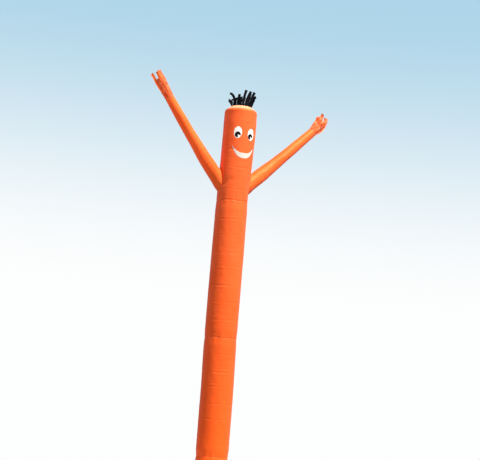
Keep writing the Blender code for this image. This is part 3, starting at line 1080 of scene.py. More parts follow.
@dataclass
class TubePanel:
    """One panel of the tube, cut as a rectangle and closed by a seam at the back.

    Attributes:
        tube: Shape that the panel follows.
        node: Name of the solid.
        foot: Height of its lower seam.
        head: Height of its upper seam.
        columns: Points round the panel.
        fine: Distance of the rows at seams and creases.
        coarse: Distance of the rows elsewhere.
        near: Distance from a seam or crease within which the rows are fine.
        hem: Height of the stitches over the foot.
        hem_gap: Distance between the hem's two rows of stitches.
        seam_offset: Distance of the stitches from a seam.
        seam_half: Half of the distance between the back seam's two rows.
        lines: Seam lines made so far.
    """

    tube: AirTube
    node: str
    foot: float
    head: float
    columns: int = 168
    fine: float = 0.0065
    coarse: float = 0.017
    near: float = 0.042
    hem: float = 0.050
    hem_gap: float = 0.008
    seam_offset: float = 0.008
    seam_half: float = 0.004
    lines: list[SeamLine] = field(default_factory=list)

    def heights(self) -> Array:
        """Heights of the rows, closer together at seams and creases.

        Returns:
            Heights from the foot to the head.
        """
        marks = [s for s in (self.foot, self.head) if s > 0.0]
        marks += [c[0] for c in self.tube.creases]
        rows, z = [self.foot], self.foot
        while True:
            gap = min(abs(z - m) for m in marks)
            z += self.fine if gap < self.near else self.coarse
            if z > self.head - self.fine / 2:
                break
            rows.append(z)
        return np.array(rows + [self.head])

    def build(self) -> ClothGrid:
        """Make the panel's points and its seam lines.

        Returns:
            The panel's points.
        """
        heights = self.heights()
        turn = np.pi + angles(self.columns)
        around = np.pi * float(np.mean(eased(self.tube.girth, heights)))
        grid = ClothGrid(self.tube.point(turn[None, :], heights[:, None]), True, around)
        grid.skip = self.openings(grid)
        on_foot = self.foot == 0.0
        top = self.head - self.seam_offset
        hemmed = (top, self.hem, self.hem - self.hem_gap)
        stitched = hemmed if on_foot else (self.foot + self.seam_offset, top)
        self.lines += [grid.ring(nearest(heights, height)) for height in stitched]
        for shift in (-self.seam_half, self.seam_half):
            self.lines.append(grid.back_seam(shift, 2 if on_foot else 0))
        return grid

    def openings(self, grid: ClothGrid) -> Optional[Array]:
        """Find the faces that the arm holes leave out.

        Args:
            grid: Points of the panel.

        Returns:
            One flag for each face, or none on a panel without arm holes.
        """
        rows, columns = grid.points.shape[:2]
        if not self.foot < ARM_MIDDLE < self.head:
            return None
        skip = np.zeros((rows - 1, columns), dtype=bool)
        for port in self.tube.ports:
            far, _, near_side = port.reach(grid.points)
            inside = (far < port.hole) & (near_side > 0.5)
            right = np.roll(inside, -1, axis=1)
            skip |= inside[:-1] | inside[1:] | right[:-1] | right[1:]
        return skip

    def dress(self, grid: ClothGrid, under: Sequence[str]) -> bpy.types.Object:
        """Turn the points into the piece of cloth.

        Args:
            grid: Points of the panel.
            under: Name of the piece below it, if there is one.

        Returns:
            The piece of cloth.
        """
        flat = (round(grid.width, 3), round(self.head - self.foot, 3))
        cut = Sheet(self.node, Cloth.ORANGE, flat, Held.STRETCHED)
        return cut.sew([grid], FINISHES[Cloth.ORANGE], under)


@dataclass
class Crown:
    """Rounded ring of cloth that narrows the head to its vent.

    Attributes:
        tube: Tube that the crown is sewn to.
        profile: Radius and height of its outline, from the head seam to the vent.
        columns: Points round the crown.
        rows: Points from the head seam to the vent.
        gather: Height of the gathers.
        low_reach: Distance over which the gathers of the head seam die out.
        high_reach: Distance over which the gathers of the vent die out.
        rise: Gap that is left over the head seam.
        lines: Seam lines made so far.
    """

    tube: AirTube
    profile: Rows = (
        (0.2360, 5.345), (0.2355, 5.372), (0.2305, 5.394), (0.2170, 5.409),
        (0.1880, 5.430), (0.1520, 5.456),
    )
    columns: int = 168
    rows: int = 26
    gather: float = 0.0022
    low_reach: float = 0.020
    high_reach: float = 0.030
    rise: float = 0.0002
    lines: list[SeamLine] = field(default_factory=list)

    def build(self) -> ClothGrid:
        """Make the crown's points, gathered at the head seam and at the vent.

        Returns:
            The crown's points.
        """
        profile = np.array(self.profile)
        steps = np.linalg.norm(np.diff(profile, axis=0), axis=1)
        knots = np.concatenate([[0.0], np.cumsum(steps)])
        at = np.linspace(0.0, knots[-1], self.rows)[:, None]
        line = spline(knots, profile, at[:, 0])
        turn = (np.pi + angles(self.columns))[None, :]
        share = at / at[-1]
        foot, vent = profile[0], profile[-1]
        head = self.tube.radius(turn, np.full((1, 1), foot[1])) - foot[0]
        low = np.exp(-at / self.low_reach)
        high = np.exp(-(at[-1] - at) / self.high_reach)
        size = line[:, :1] + head * (1 - share) ** 2
        size = size + self.gather * 0.45 * low * Ripples(150, 24, 42).at(turn, at)
        drop = self.gather * high * Ripples(151, 14, 30).at(turn, at)
        folds = Ripples(152, 6, 14, 1.0).at(turn, at)
        drop = drop + self.gather * np.sin(np.pi * share) * folds
        middle = eased(self.tube.bow, line[:, 1])[:, None]
        x = self.tube.axis[0] + middle + size * np.sin(turn)
        y = self.tube.axis[1] - size * np.cos(turn)
        z = np.broadcast_to(line[:, 1:] + drop + self.rise, x.shape)
        grid = ClothGrid(np.stack([x, y, z], axis=-1), True, math.pi * float(foot[0] + vent[0]))
        self.lines += [grid.ring(row) for row in (2, self.rows - 3, self.rows - 5)]
        return grid

    def dress(self, grid: ClothGrid) -> bpy.types.Object:
        """Turn the points into the piece of cloth.

        Args:
            grid: Points of the crown.

        Returns:
            The piece of cloth.
        """
        length = round(float(grid.lengths()[-1]), 3)
        flat = (round(2 * math.pi * self.profile[0][0], 3), length)
        area = round(grid.width * length, 4)
        cut = Sheet("crown", Cloth.ORANGE, flat, Held.STRETCHED, area)
        # The crown's cloth carries a painted highlight on its rim.
        return cut.sew([grid], CROWN_HIGHLIGHT_CLOTH, [CHEST])


# Arms


@dataclass
class Arm:
    """Tapering sleeve that opens out of the chest panel and ends at its wrist.

    Attributes:
        tube: Tube that the arm is sewn to.
        node: Name of the solid.
        heading: Direction of the arm seen from above, in degrees from +X toward +Y.
        table: Reach from the tube's middle line, height and diameter.
        creases: Distance along the arm and depth of its fold creases.
        seed: Number that picks its ripples.
        root: Diameter of the sewn root.
        shoulder: Diameter to which it narrows just outside the root.
        shoulder_share: Place of that ring between the table's first ring and the tube.
        hole: Radius of its hole in the tube.
        columns: Points round the arm.
        rows: Points along the arm.
        crowd: How strongly the rows crowd together at both ends.
        gap: Distance of the root from the tube's cloth.
        ease: Share by which the gathers add to the flat area.
        seam_shift: Distance of the long seam to the side of the first column.
        sewn: Distance over which the cloth comes free of the root's stitches.
        gather: Height of the gathers at the root.
        gather_reach: Distance over which they die out.
        puff: Height, place and width of the swell outside the root.
        pinch: Depth, place and width of the groove beside the stitches.
        slack: Depth of the broad unevenness.
        skin: Depth of the finer unevenness.
        wrist: Height of the gathers at the wrist.
        wrist_reach: Distance over which they die out.
        wander: Rise and fall of a crease round the arm.
        lip: Share of a crease's depth that stands up beside it.
        lines: Seam lines made so far.
    """

    tube: AirTube
    node: str
    heading: float
    table: Rows
    creases: Rows
    seed: int
    root: float
    shoulder: float
    shoulder_share: float = 0.62
    hole: float = 0.089
    columns: int = 104
    rows: int = 150
    crowd: float = 0.028
    gap: float = 0.0006
    ease: float = 1.02
    seam_shift: float = 0.003
    sewn: float = 0.012
    gather: float = 0.0032
    gather_reach: float = 0.045
    puff: tuple[float, float, float] = (0.0040, 0.060, 0.035)
    pinch: tuple[float, float, float] = (0.0030, 0.014, 0.010)
    slack: float = 0.0011
    skin: float = 0.0005
    wrist: float = 0.0018
    wrist_reach: float = 0.05
    wander: float = 0.010
    lip: float = 0.4
    lines: list[SeamLine] = field(default_factory=list)

    def centres(self) -> list[Vector]:
        """Find the arm's middle line.

        Returns:
            One point for each row of the table.
        """
        turn = math.radians(self.heading)
        middle = float(eased(self.tube.bow, ARM_MIDDLE))
        spots = []
        for reach, height, _ in self.table:
            x = self.tube.axis[0] + middle + reach * math.cos(turn)
            spots.append(Vector((x, self.tube.axis[1] + reach * math.sin(turn), height)))
        return spots

    def side(self) -> Vector:
        """Level direction across the arm."""
        turn = math.radians(self.heading)
        return Vector((math.sin(turn), -math.cos(turn), 0.0))

    def runs(self) -> list[Vector]:
        """Find the directions of the arm.

        Returns:
            One unit vector for each row of the table.
        """
        spots = self.centres()
        last = len(spots) - 1
        return [(spots[min(k + 1, last)] - spots[max(k - 1, 0)]).normalized()
                for k in range(last + 1)]

    def port(self) -> Port:
        """Place where the arm opens out of the tube."""
        return Port(self.centres()[0], self.runs()[0], self.root / 2, self.hole)

    def ring(self, centre: Vector, along: Vector, size: float) -> Array:
        """Lay a round ring of points, from its under side on.

        Args:
            centre: Middle of the ring.
            along: Direction of the arm there.
            size: Diameter of the ring.

        Returns:
            The ring's points.
        """
        up = self.side().cross(along).normalized()
        turn = angles(self.columns) + np.pi
        spots = np.outer(np.cos(turn), np.array(up)) + np.outer(np.sin(turn), np.array(self.side()))
        return np.array(centre) + spots * size / 2

    def build(self) -> ClothGrid:
        """Make the arm's points and its seam lines.

        Returns:
            The arm's points, with gathers at the root and the wrist.
        """
        spots, runs = self.centres(), self.runs()
        along = np.array(runs[0])
        foot = self.tube.slide(self.ring(spots[0], runs[0], self.root), along, self.gap)
        slid = self.tube.slide(self.ring(spots[0], runs[0], self.shoulder), along, self.gap)
        rings = [self.ring(c, a, row[2]) for c, a, row in zip(spots, runs, self.table)]
        middle = rings[0] + (slid - rings[0]) * self.shoulder_share
        control = np.stack([foot, middle] + rings)
        steps = np.linalg.norm(np.diff(control, axis=0), axis=2).mean(axis=1)
        knots = np.concatenate([[0.0], np.cumsum(steps)])
        share = np.linspace(0.0, 1.0, self.rows)
        at = knots[-1] * (share - self.crowd * np.sin(2 * np.pi * share))
        around = float(np.mean([row[2] for row in self.table])) * math.pi
        grid = ClothGrid(spline(knots, control, np.clip(at, 0, knots[-1])), True, around)
        grid.push(self.wrinkles(at[:, None], knots[-1]))
        self.lines += [grid.ring(row) for row in (3, 5, self.rows - 4, self.rows - 7)]
        self.lines.append(grid.back_seam(self.seam_shift))
        return grid

    def wrinkles(self, at: Array, length: float) -> Array:
        """Rise of the cloth from gathers, creases and slack.

        Args:
            at: Distances along the arm, one to a row.
            length: Length of the arm.

        Returns:
            One rise for each point.
        """
        turn = angles(self.columns)[None, :]
        near, far = np.exp(-at / self.gather_reach), np.exp(-(length - at) / self.wrist_reach)
        swell, place, wide = self.puff
        groove, start, narrow = self.pinch
        rise = self.gather * near * Ripples(self.seed, 9, 22).at(turn, at)
        rise = rise + swell * bell(at - place, wide)
        rise = rise - groove * bell(at - start, narrow)
        rise = rise + self.slack * Ripples(self.seed + 1, 2, 4, 3.0).at(turn, at)
        rise = rise + self.skin * Ripples(self.seed + 2, 5, 12, 7.0).at(turn, at)
        rise = rise + self.wrist * far * Ripples(self.seed + 3, 6, 13).at(turn, at)
        for k, (place, depth) in enumerate(self.creases):
            middle = place + self.wander * Ripples(self.seed + 10 + k, 1, 3).at(turn, at)
            power = np.clip(0.7 + 0.5 * Ripples(self.seed + 30 + k, 1, 4).at(turn, at), 0.1, 1.5)
            rise = rise - depth * power * crease(at - middle, self.lip)
        return rise * (1.0 - np.exp(-at / self.sewn))

    def dress(self, grid: ClothGrid) -> bpy.types.Object:
        """Turn the points into the piece of cloth.

        Args:
            grid: Points of the arm.

        Returns:
            The piece of cloth.
        """
        length = float(grid.lengths()[-1])
        flat = (round(math.pi * self.root, 3), round(length, 3))
        area = round(grid.width * length * self.ease, 4)
        cut = Sheet(self.node, Cloth.ORANGE, flat, Held.STRETCHED, area)
        return cut.sew([grid], ARM_CLOTH, [CHEST])


# Bands that carry loose strips


@dataclass
class StripBand:
    """Round band that is cut into loose strips above its sewn edge.

    Attributes:
        node: Name of the solid.
        cloth: Cloth of band and strips.
        centre: Middle of the band's lower edge.
        along: Direction in which the band stands.
        side: Direction across it.
        radius: Radius of the band.
        fill: Share of the round that the strips take.
        table: Length, lean, curl, sway and twist of each strip, angles in degrees.
        seed: Number that picks the strips' chance differences.
        flutter: Height of the waves along a strip.
        cup: Bow of a strip across its width, as a share of the width.
        band: Height of the band.
        taper: Width of a strip's end, as a share of its foot.
        twist_by: Share of its length by which a strip has turned.
        late: Power that holds a strip's curl back toward its end.
        loose: Power that holds its waves back toward its end.
        slant: Most by which a strip's end is cut aslant.
        rows: Points along a strip.
        lanes: Points across a strip.
        band_rows: Points along the band.
        lines: Seam lines made so far.
    """

    node: str
    cloth: Cloth
    centre: Vector
    along: Vector
    side: Vector
    radius: float
    fill: float
    table: Rows
    seed: int
    flutter: float
    cup: float
    band: float = 0.028
    taper: float = 0.92
    twist_by: float = 0.45
    late: float = 1.6
    loose: float = 1.3
    slant: float = 0.010
    rows: int = 36
    lanes: int = 9
    band_rows: int = 5
    lines: list[SeamLine] = field(default_factory=list)

    def frame(self, turn: float) -> tuple[Vector, Vector]:
        """Find the directions at a place round the band.

        Args:
            turn: Angle round the band, in radians.

        Returns:
            The directions outward and sideways.
        """
        up = self.side.cross(self.along).normalized()
        out = up * math.cos(turn) + self.side * math.sin(turn)
        across = self.side * math.cos(turn) - up * math.sin(turn)
        return out, across

    def pitch(self) -> float:
        """Angle from one strip to the next."""
        return 2 * math.pi / len(self.table)

    def build(self) -> list[ClothGrid]:
        """Make the band, its strips and its seam line.

        Returns:
            The points of the band and of each strip.
        """
        lane = np.linspace(-1.0, 1.0, self.lanes)
        half = self.pitch() * self.fill / 2
        turns = [self.pitch() * k + half * v for k in range(len(self.table)) for v in lane]
        outs = np.array([self.frame(t)[0] for t in turns])
        base = np.array(self.centre)
        rows = [base + outs * self.radius + np.array(self.along) * self.band * s
                for s in np.linspace(0.0, 1.0, self.band_rows)]
        band = ClothGrid(np.stack(rows), True, 2 * math.pi * self.radius)
        self.lines.append(band.ring(2))
        pick = np.random.default_rng(self.seed)
        strips = [self.strip(k, row, lane, half, pick) for k, row in enumerate(self.table)]
        return [band, *strips]

    def strip(self, k: int, row: Sequence[float], lane: Array, half: float,
              pick: np.random.Generator) -> ClothGrid:
        """Make one strip.

        Args:
            k: Number of the strip.
            row: Its row of the table.
            lane: Places across the strip, from minus one to one.
            half: Half of its angle round the band.
            pick: Source of its small chance differences.

        Returns:
            The strip's points.
        """
        length, lean, curl, sway, twist = row
        out, across = self.frame(self.pitch() * k)
        spot = self.centre + out * self.radius + self.along * self.band
        waves, phase = pick.uniform(1.1, 2.3), pick.uniform(0, 2 * math.pi)
        edge, slant = pick.uniform(0, 2 * math.pi, 2), pick.uniform(-self.slant, self.slant)
        bent = pick.uniform(-1.0, 1.0)
        wide = self.radius * np.sin(half * lane)
        lines = [np.array(self.centre + self.along * self.band)
                 + np.array([self.frame(self.pitch() * k + half * v)[0] for v in lane]) * self.radius]
        for step in range(1, self.rows + 1):
            share = step / self.rows
            bend = math.radians(lean + curl * ((step - 0.5) / self.rows) ** self.late)
            spot = spot + (self.along * math.cos(bend) + out * math.sin(bend)) * length / self.rows
            drift = across * sway * length * share ** 2
            ahead = math.radians(lean + curl * share ** self.late)
            run = self.along * math.cos(ahead) + out * math.sin(ahead)
            turn = Matrix.Rotation(math.radians(twist) * min(share / self.twist_by, 1.0), 3, run)
            flat = turn @ (out * math.cos(ahead) - self.along * math.sin(ahead))
            level = turn @ across * (1.0 - (1.0 - self.taper) * share)
            bow = self.radius * (np.cos(half * lane) - 1.0) * (1.0 - share) ** 2
            free = share ** self.loose
            rise = self.flutter * free * math.sin(2 * math.pi * waves * share + phase)
            frill = np.where(lane < 0, np.sin(9.0 * share + edge[0]), np.sin(8.0 * share + edge[1]))
            rise = rise + 0.45 * self.flutter * free * frill * lane ** 2
            rise = rise + self.cup * bent * wide[-1] * free * (lane ** 2 - 0.4)
            tip = np.array(run) * slant * free ** 6
            lines.append(np.array(spot + drift) + np.outer(wide, np.array(level))
                         + np.outer(bow + rise, np.array(flat)) + np.outer(lane, tip))
        return ClothGrid(np.stack(lines), False, float(2 * wide[-1]))

    def dress(self, grids: list[ClothGrid], under: Sequence[str]) -> bpy.types.Object:
        """Turn the points into the piece of cloth.

        Args:
            grids: Points of the band and the strips.
            under: Name of the piece that carries it.

        Returns:
            The piece of cloth.
        """
        # Orange strips take the hands' cloth, whose patches are painted shade and highlights.
        finish = HAND_PAINTED_SHADE_CLOTH if self.cloth is Cloth.ORANGE else FINISHES[self.cloth]
        longest = max(row[0] for row in self.table)
        around = 2 * math.pi * self.radius
        wide = around / len(self.table) * self.fill * (1 + self.taper) / 2
        area = around * self.band + wide * sum(row[0] for row in self.table)
        flat = (round(around, 3), round(self.band + longest, 3))
        cut = Sheet(self.node, self.cloth, flat, Held.HUNG, round(area, 4))
        return cut.sew(grids, finish, under, BAND_WELD)


# Face


@dataclass
class Patch:
    """Flat shape sewn on the tube, laid out as arc length across and height.

    Attributes:
        tube: Tube that carries the patch.
        node: Name of the solid.
        cloth: Cloth of the patch.
        lift: Height of the patch over the tube's cloth.
        reach: Radius that turns arc length into an angle.
        turned: How far the patch's edge is turned down.
    """

    tube: AirTube
    node: str
    cloth: Cloth
    lift: float
    reach: float = FACE_RADIUS
    turned: float = 0.0007

    def layout(self) -> tuple[Array, Array, Array, bool]:
        """Across and height of each point, how near it is to the edge, and whether it closes."""
        raise NotImplementedError

    def finish(self) -> RipstopNylon:
        """Cloth of which the patch is cut."""
        return FINISHES[self.cloth]

    def flat_size(self) -> tuple[tuple[float, float], float]:
        """Width, length and area of the cut."""
        raise NotImplementedError

    def build(self) -> ClothGrid:
        """Lay the patch on the tube, with its edge turned down.

        Returns:
            The patch's points.
        """
        across, height, edge, closed = self.layout()
        turn = across / self.reach
        spots = self.tube.point(turn, height, self.lift)
        down = spots - self.tube.point(turn, height, self.lift - self.turned)
        spots = spots - down * edge[..., None]
        return ClothGrid(spots, closed, self.flat_size()[0][0])

    def dress(self, grid: ClothGrid, under: Sequence[str]) -> bpy.types.Object:
        """Turn the points into the piece of cloth.

        Args:
            grid: Points of the patch.
            under: Name of the piece that it is sewn on.

        Returns:
            The piece of cloth.
        """
        flat, area = self.flat_size()
        cut = Sheet(self.node, self.cloth, flat, Held.STRETCHED, area)
        return cut.sew([grid], self.finish(), under, PATCH_WELD)


@dataclass
class Eye(Patch):
    """Egg-shaped eye, longer below its middle.

    Attributes:
        middle: Arc length from the tube's front to its middle.
        height: Height of its widest place.
        half: Half of its width.
        up: Length above the widest place.
        down: Length below it.
        spokes: Points round it.
        shares: Places of the rings, from the middle to the edge.
    """

    middle: float = 0.0
    height: float = 5.046
    half: float = 0.060
    up: float = 0.079
    down: float = 0.093
    spokes: int = 64
    shares: tuple[float, ...] = (0.02, 0.15, 0.3, 0.45, 0.6, 0.74, 0.86, 0.94, 0.975, 1.0)

    def layout(self) -> tuple[Array, Array, Array, bool]:
        """Lay rings from the sewn edge in to the middle.

        Returns:
            Across, height and edge of each point, and that the rings close.
        """
        share = np.array(self.shares)[:, None]
        turn = -angles(self.spokes)[None, :]
        tall = np.where(np.cos(turn) > 0, self.up, self.down)
        across = self.middle + self.half * share * np.sin(turn)
        height = self.height + tall * share * np.cos(turn)
        edge = np.where(share == 1.0, 1.0, 0.0) * np.ones_like(turn)
        return across[::-1], height[::-1], edge[::-1], True

    def finish(self) -> RipstopNylon:
        """Whiter copy of the smile's cloth: painted light that offsets the shade on the eyes."""
        return EYE_BRIGHTENED_CLOTH

    def flat_size(self) -> tuple[tuple[float, float], float]:
        """Width, length and area of the egg."""
        wide, tall = 2 * self.half, self.up + self.down
        return (wide, tall), round(math.pi / 4 * wide * tall, 5)


@dataclass
class Pupil(Patch):
    """Round pupil with a wedge left open for its glint.

    Attributes:
        middle: Arc length from the tube's front to its middle.
        height: Height of its middle.
        radius: Radius of the pupil.
        notch: Direction of the wedge, in degrees.
        notch_wide: Angle of the wedge, in degrees.
        spokes: Points round it.
        shares: Places of the rings, from the middle to the edge.
    """

    middle: float = 0.0
    height: float = 5.004
    radius: float = 0.043
    notch: float = -50.0
    notch_wide: float = 62.0
    spokes: int = 56
    shares: tuple[float, ...] = (0.10, 0.25, 0.42, 0.6, 0.76, 0.88, 0.95, 1.0)

    def layout(self) -> tuple[Array, Array, Array, bool]:
        """Lay open rings from one side of the wedge round to the other.

        Returns:
            Across, height and edge of each point, and that the rings don't close.
        """
        share = np.array(self.shares)[:, None]
        start = self.notch + self.notch_wide / 2
        turn = np.radians(start + (360 - self.notch_wide) * np.linspace(0, 1, self.spokes))[None, :]
        across = self.middle + self.radius * share * np.cos(turn)
        height = self.height + self.radius * share * np.sin(turn)
        edge = np.where(share == 1.0, 1.0, 0.0) * np.ones_like(turn)
        edge[:, 0] = edge[:, -1] = 1.0
        return across[::-1], height[::-1], edge[::-1], False

    def flat_size(self) -> tuple[tuple[float, float], float]:
        """Width, length and area of the pupil."""
        wide = 2 * self.radius
        return (wide, wide), round(math.pi * self.radius ** 2 * (1 - self.notch_wide / 360), 5)


@dataclass
class Smile(Patch):
    """Crescent smile.

    Attributes:
        half: Half of its width, in degrees round the tube.
        tip: Height of its tips.
        low: Sag of the lower edge under the tips.
        high: Sag of the upper edge under the tips.
        end: Thickness of the tips.
        full: Power that makes the curve fuller than a parabola.
        round_off: Power that rounds it toward the tips.
        steps: Faces along it.
        shares: Places of the rows, from the lower edge to the upper one.
    """

    half: float = 42.4
    tip: float = 4.834
    low: float = 0.155
    high: float = 0.0975
    end: float = 0.018
    full: float = 2.5
    round_off: float = 0.9
    steps: int = 72
    shares: tuple[float, ...] = (0.0, 0.05, 0.14, 0.28, 0.43, 0.57, 0.72, 0.86, 0.95, 1.0)

    def sag(self, share: Array) -> Array:
        """Sag of the curve, one in the middle and none at the tips."""
        return (1.0 - np.abs(share) ** self.full) ** self.round_off

    def layout(self) -> tuple[Array, Array, Array, bool]:
        """Lay rows from the lower edge to the upper one.

        Returns:
            Across, height and edge of each point, and that the rows don't close.
        """
        share = np.sin(np.linspace(-np.pi / 2, np.pi / 2, self.steps + 1))[None, :]
        across = math.radians(self.half) * self.reach * share
        sag = self.sag(share)
        low = self.tip - self.low * sag - self.end / 2
        high = self.tip - self.high * sag + self.end / 2
        rise = np.array(self.shares)[:, None]
        height = low + (high - low) * rise
        edge = np.where((rise == 0.0) | (rise == 1.0), 1.0, 0.0) * np.ones_like(share)
        edge[:, 0] = edge[:, -1] = 1.0
        return across * np.ones_like(rise), height, edge, False

    def flat_size(self) -> tuple[tuple[float, float], float]:
        """Measure the crescent.

        Returns:
            Width and length, and the area.
        """
        wide = 2 * math.radians(self.half) * self.reach
        sag = self.sag(np.linspace(-1, 1, 400))
        area = wide * float(np.mean((self.low - self.high) * sag + self.end))
        return (round(wide, 4), round(self.low + self.end, 4)), round(area, 5)


# Studio


@dataclass
class Studio:
    """Plain pale floor, soft light and the camera.

    Attributes:
        axis: Place of the tube's middle line at the foot.
        azimuth: Direction of the camera round the object, in degrees.
        distance: Distance of the camera from the tube.
        height: Height of the camera.
        pitch: Upward tilt of the camera, in degrees.
        yaw: Turn of the camera to the right, in degrees.
        roll: Turn of the camera about its view, in degrees.
        lens: Focal length in millimetres.
        far: Distance past which the camera sees nothing.
        sun_right: Direction of the key light, to the right of the camera, in degrees.
        sun_up: Height of the key light, in degrees.
        sun_power: Strength of the key light.
        sun_soft: Angle over which it spreads, in degrees.
        sun_tint: Colour of the key light, linear.
        sun_away: Distance at which its lamp is shown.
        fill: Strength of the light from all round.
        fill_tint: Colour of the light from all round, as sRGB hex.
        backdrop: Colours of the backdrop low and high, as sRGB hex.
        backdrop_span: Heights of the view between which they blend.
        floor_radius: Radius of the floor.
        floor_sides: Sides of its rim.
        floor_tones: Two tones of the floor, as sRGB hex.
    """

    axis: tuple[float, float]
    azimuth: float = -23.5
    distance: float = 20.0
    height: float = 0.8
    pitch: float = 8.131
    yaw: float = 0.376
    roll: float = 4.779
    lens: float = 105.0
    far: float = 500.0
    sun_right: float = 52.0
    sun_up: float = 58.0
    sun_power: float = 9.6
    sun_soft: float = 6.0
    sun_tint: tuple[float, float, float] = (1.0, 0.965, 0.91)
    sun_away: float = 12.0
    fill: float = 0.64
    fill_tint: str = "e8f1fb"
    backdrop: tuple[str, str] = ("fdfefe", "aed5e9")
    backdrop_span: tuple[float, float] = (0.09, 0.31)
    floor_radius: float = 0.85
    floor_sides: int = 96
    floor_tones: tuple[str, str] = ("c2c6c7", "bbc0c1")

    def camera(self) -> None:
        """Set the camera at the photograph's viewing angle."""
        a = math.radians(self.azimuth)
        level = Vector((-math.sin(a), math.cos(a), 0.0))
        ahead = Matrix.Rotation(-math.radians(self.yaw), 3, "Z") @ level
        right = Vector((ahead.y, -ahead.x, 0.0))
        p, r = math.radians(self.pitch), math.radians(self.roll)
        top = Vector((0.0, 0.0, 1.0))
        view = ahead * math.cos(p) + top * math.sin(p)
        up = top * math.cos(p) - ahead * math.sin(p)
        turned = right * math.cos(r) + up * math.sin(r)
        raised = up * math.cos(r) - right * math.sin(r)
        data = bpy.data.cameras.new("camera")
        data.lens = self.lens
        data.sensor_fit = "HORIZONTAL"
        data.clip_end = self.far
        made = bpy.data.objects.new("camera", data)
        bpy.context.scene.collection.objects.link(made)
        place = Matrix((turned, raised, -view)).transposed().to_4x4()
        place.translation = (self.axis[0] + self.distance * math.sin(a),
                             self.axis[1] - self.distance * math.cos(a), self.height)
        made.matrix_world = place
        bpy.context.scene.camera = made

    def light(self) -> None:
        """Hang one soft key light."""
        a, s, e = (math.radians(v) for v in (self.azimuth, self.sun_right, self.sun_up))
        front = Vector((math.sin(a), -math.cos(a), 0.0))
        right = Vector((math.cos(a), math.sin(a), 0.0))
        aim = (front * math.cos(s) + right * math.sin(s)) * math.cos(e)
        aim = aim + Vector((0.0, 0.0, math.sin(e)))
        data = bpy.data.lights.new("key", "SUN")
        data.energy = self.sun_power
        data.angle = math.radians(self.sun_soft)
        data.color = self.sun_tint
        made = bpy.data.objects.new("key", data)
        made.rotation_mode = "QUATERNION"
        made.rotation_quaternion = aim.to_track_quat("Z", "Y")
        made.location = aim * self.sun_away
        bpy.context.scene.collection.objects.link(made)

    def backdrop_light(self) -> None:
        """Light the object from all round and show the camera a pale backdrop."""
        world = bpy.data.worlds.new("studio")
        bpy.context.scene.world = world
        world.use_nodes = True
        tree = world.node_tree
        tree.nodes.clear()
        ray = add_node(tree, "ShaderNodeLightPath").outputs["Is Camera Ray"]
        place = add_node(tree, "ShaderNodeTexCoord").outputs["Generated"]
        up = add_node(tree, "ShaderNodeSeparateXYZ", None, {0: place}).outputs[2]
        share = add_node(tree, "ShaderNodeMapRange", {"interpolation_type": "SMOOTHSTEP"},
                         {"Value": up, "From Min": self.backdrop_span[0],
                          "From Max": self.backdrop_span[1]})
        pale = add_node(tree, "ShaderNodeMix", {"data_type": "RGBA"},
                        {0: share.outputs[0], 6: linear_colour(self.backdrop[0]),
                         7: linear_colour(self.backdrop[1])})
        wall = add_node(tree, "ShaderNodeBackground", None, {"Color": pale.outputs[2]})
        glow = add_node(tree, "ShaderNodeBackground", None,
                        {"Color": linear_colour(self.fill_tint), "Strength": self.fill})
        both = add_node(tree, "ShaderNodeMixShader", None,
                        {0: ray, 1: glow.outputs[0], 2: wall.outputs[0]})
        add_node(tree, "ShaderNodeOutputWorld", None, {"Surface": both.outputs[0]})
        bpy.context.scene.view_settings.view_transform = "Standard"

    def floor(self) -> None:
        """Lay the round pale floor that the object stands on."""
        size = self.floor_radius
        rim = [(self.axis[0] + size * math.cos(turn), self.axis[1] + size * math.sin(turn), 0.0)
               for turn in angles(self.floor_sides)]
        mesh = bpy.data.meshes.new("floor")
        mesh.from_pydata(rim, [], [list(range(self.floor_sides))])
        made = bpy.data.objects.new("floor", mesh)
        bpy.context.scene.collection.objects.link(made)
        dress, tree = new_tree("pale painted floor")
        place = add_node(tree, "ShaderNodeTexCoord").outputs["Object"]
        cloud = add_node(tree, "ShaderNodeTexNoise", None, {"Vector": place, "Scale": 3.0})
        tone = add_node(tree, "ShaderNodeMix", {"data_type": "RGBA"},
                        {0: cloud.outputs["Fac"], 6: linear_colour(self.floor_tones[0]),
                         7: linear_colour(self.floor_tones[1])})
        body = add_node(tree, "ShaderNodeBsdfPrincipled", None,
                        {"Base Color": tone.outputs[2], "Roughness": 0.75})
        add_node(tree, "ShaderNodeOutputMaterial", None, {"Surface": body.outputs[0]})
        mesh.materials.append(dress)


# Assembly


HAND_LEFT = (
    # length, lean, curl, sway, twist
    (0.405, 0, 1, -0.035, 12), (0.410, 2, 1, -0.02, 10), (0.300, 0, -1, -0.035, 8),
    (0.410, -2, 5, -0.035, 32), (0.305, 0, -1, -0.042, 6), (0.405, 2, 2, -0.04, -6),
)
HAND_RIGHT = (
    # length, lean, curl, sway, twist
    (0.250, -4, 44, 0.00, 62), (0.288, 6, 14, -0.24, 20), (0.290, 6, -18, -0.06, 18),
    (0.375, 5, -50, 0.04, 55), (0.330, 8, -14, 0.10, -20), (0.310, 6, 6, 0.10, -20),
)
HAIR = (
    # length, lean, curl, sway, twist
    (0.215, 8, 6, 0.24, -20), (0.190, -3, 12, 0.16, -28), (0.222, 9, 10, 0.12, -50),
    (0.176, 4, 50, 0.00, -62), (0.140, 2, 38, -0.04, -60), (0.150, 3, 12, 0.00, 8),
    (0.180, -4, 10, -0.05, -8), (0.185, 3, 8, -0.08, 8), (0.190, -5, 8, -0.10, -8),
    (0.185, 3, 6, -0.12, 8), (0.195, -4, 6, -0.12, 8), (0.180, 3, 6, -0.10, -8),
    (0.185, -5, 6, -0.08, 8), (0.165, 2, 6, -0.06, -8), (0.140, -5, 8, -0.03, 8),
    (0.105, 2, 8, 0.00, -8), (0.112, -2, 80, 0.00, 60), (0.125, -10, 95, 0.00, -55),
    (0.100, 3, 6, 0.00, 8), (0.222, -14, 120, 0.06, 40), (0.110, 2, 6, 0.12, -8),
    (0.160, 3, 6, 0.14, 12), (0.125, 3, 6, 0.05, 8), (0.232, -3, 8, 0.14, -8),
)
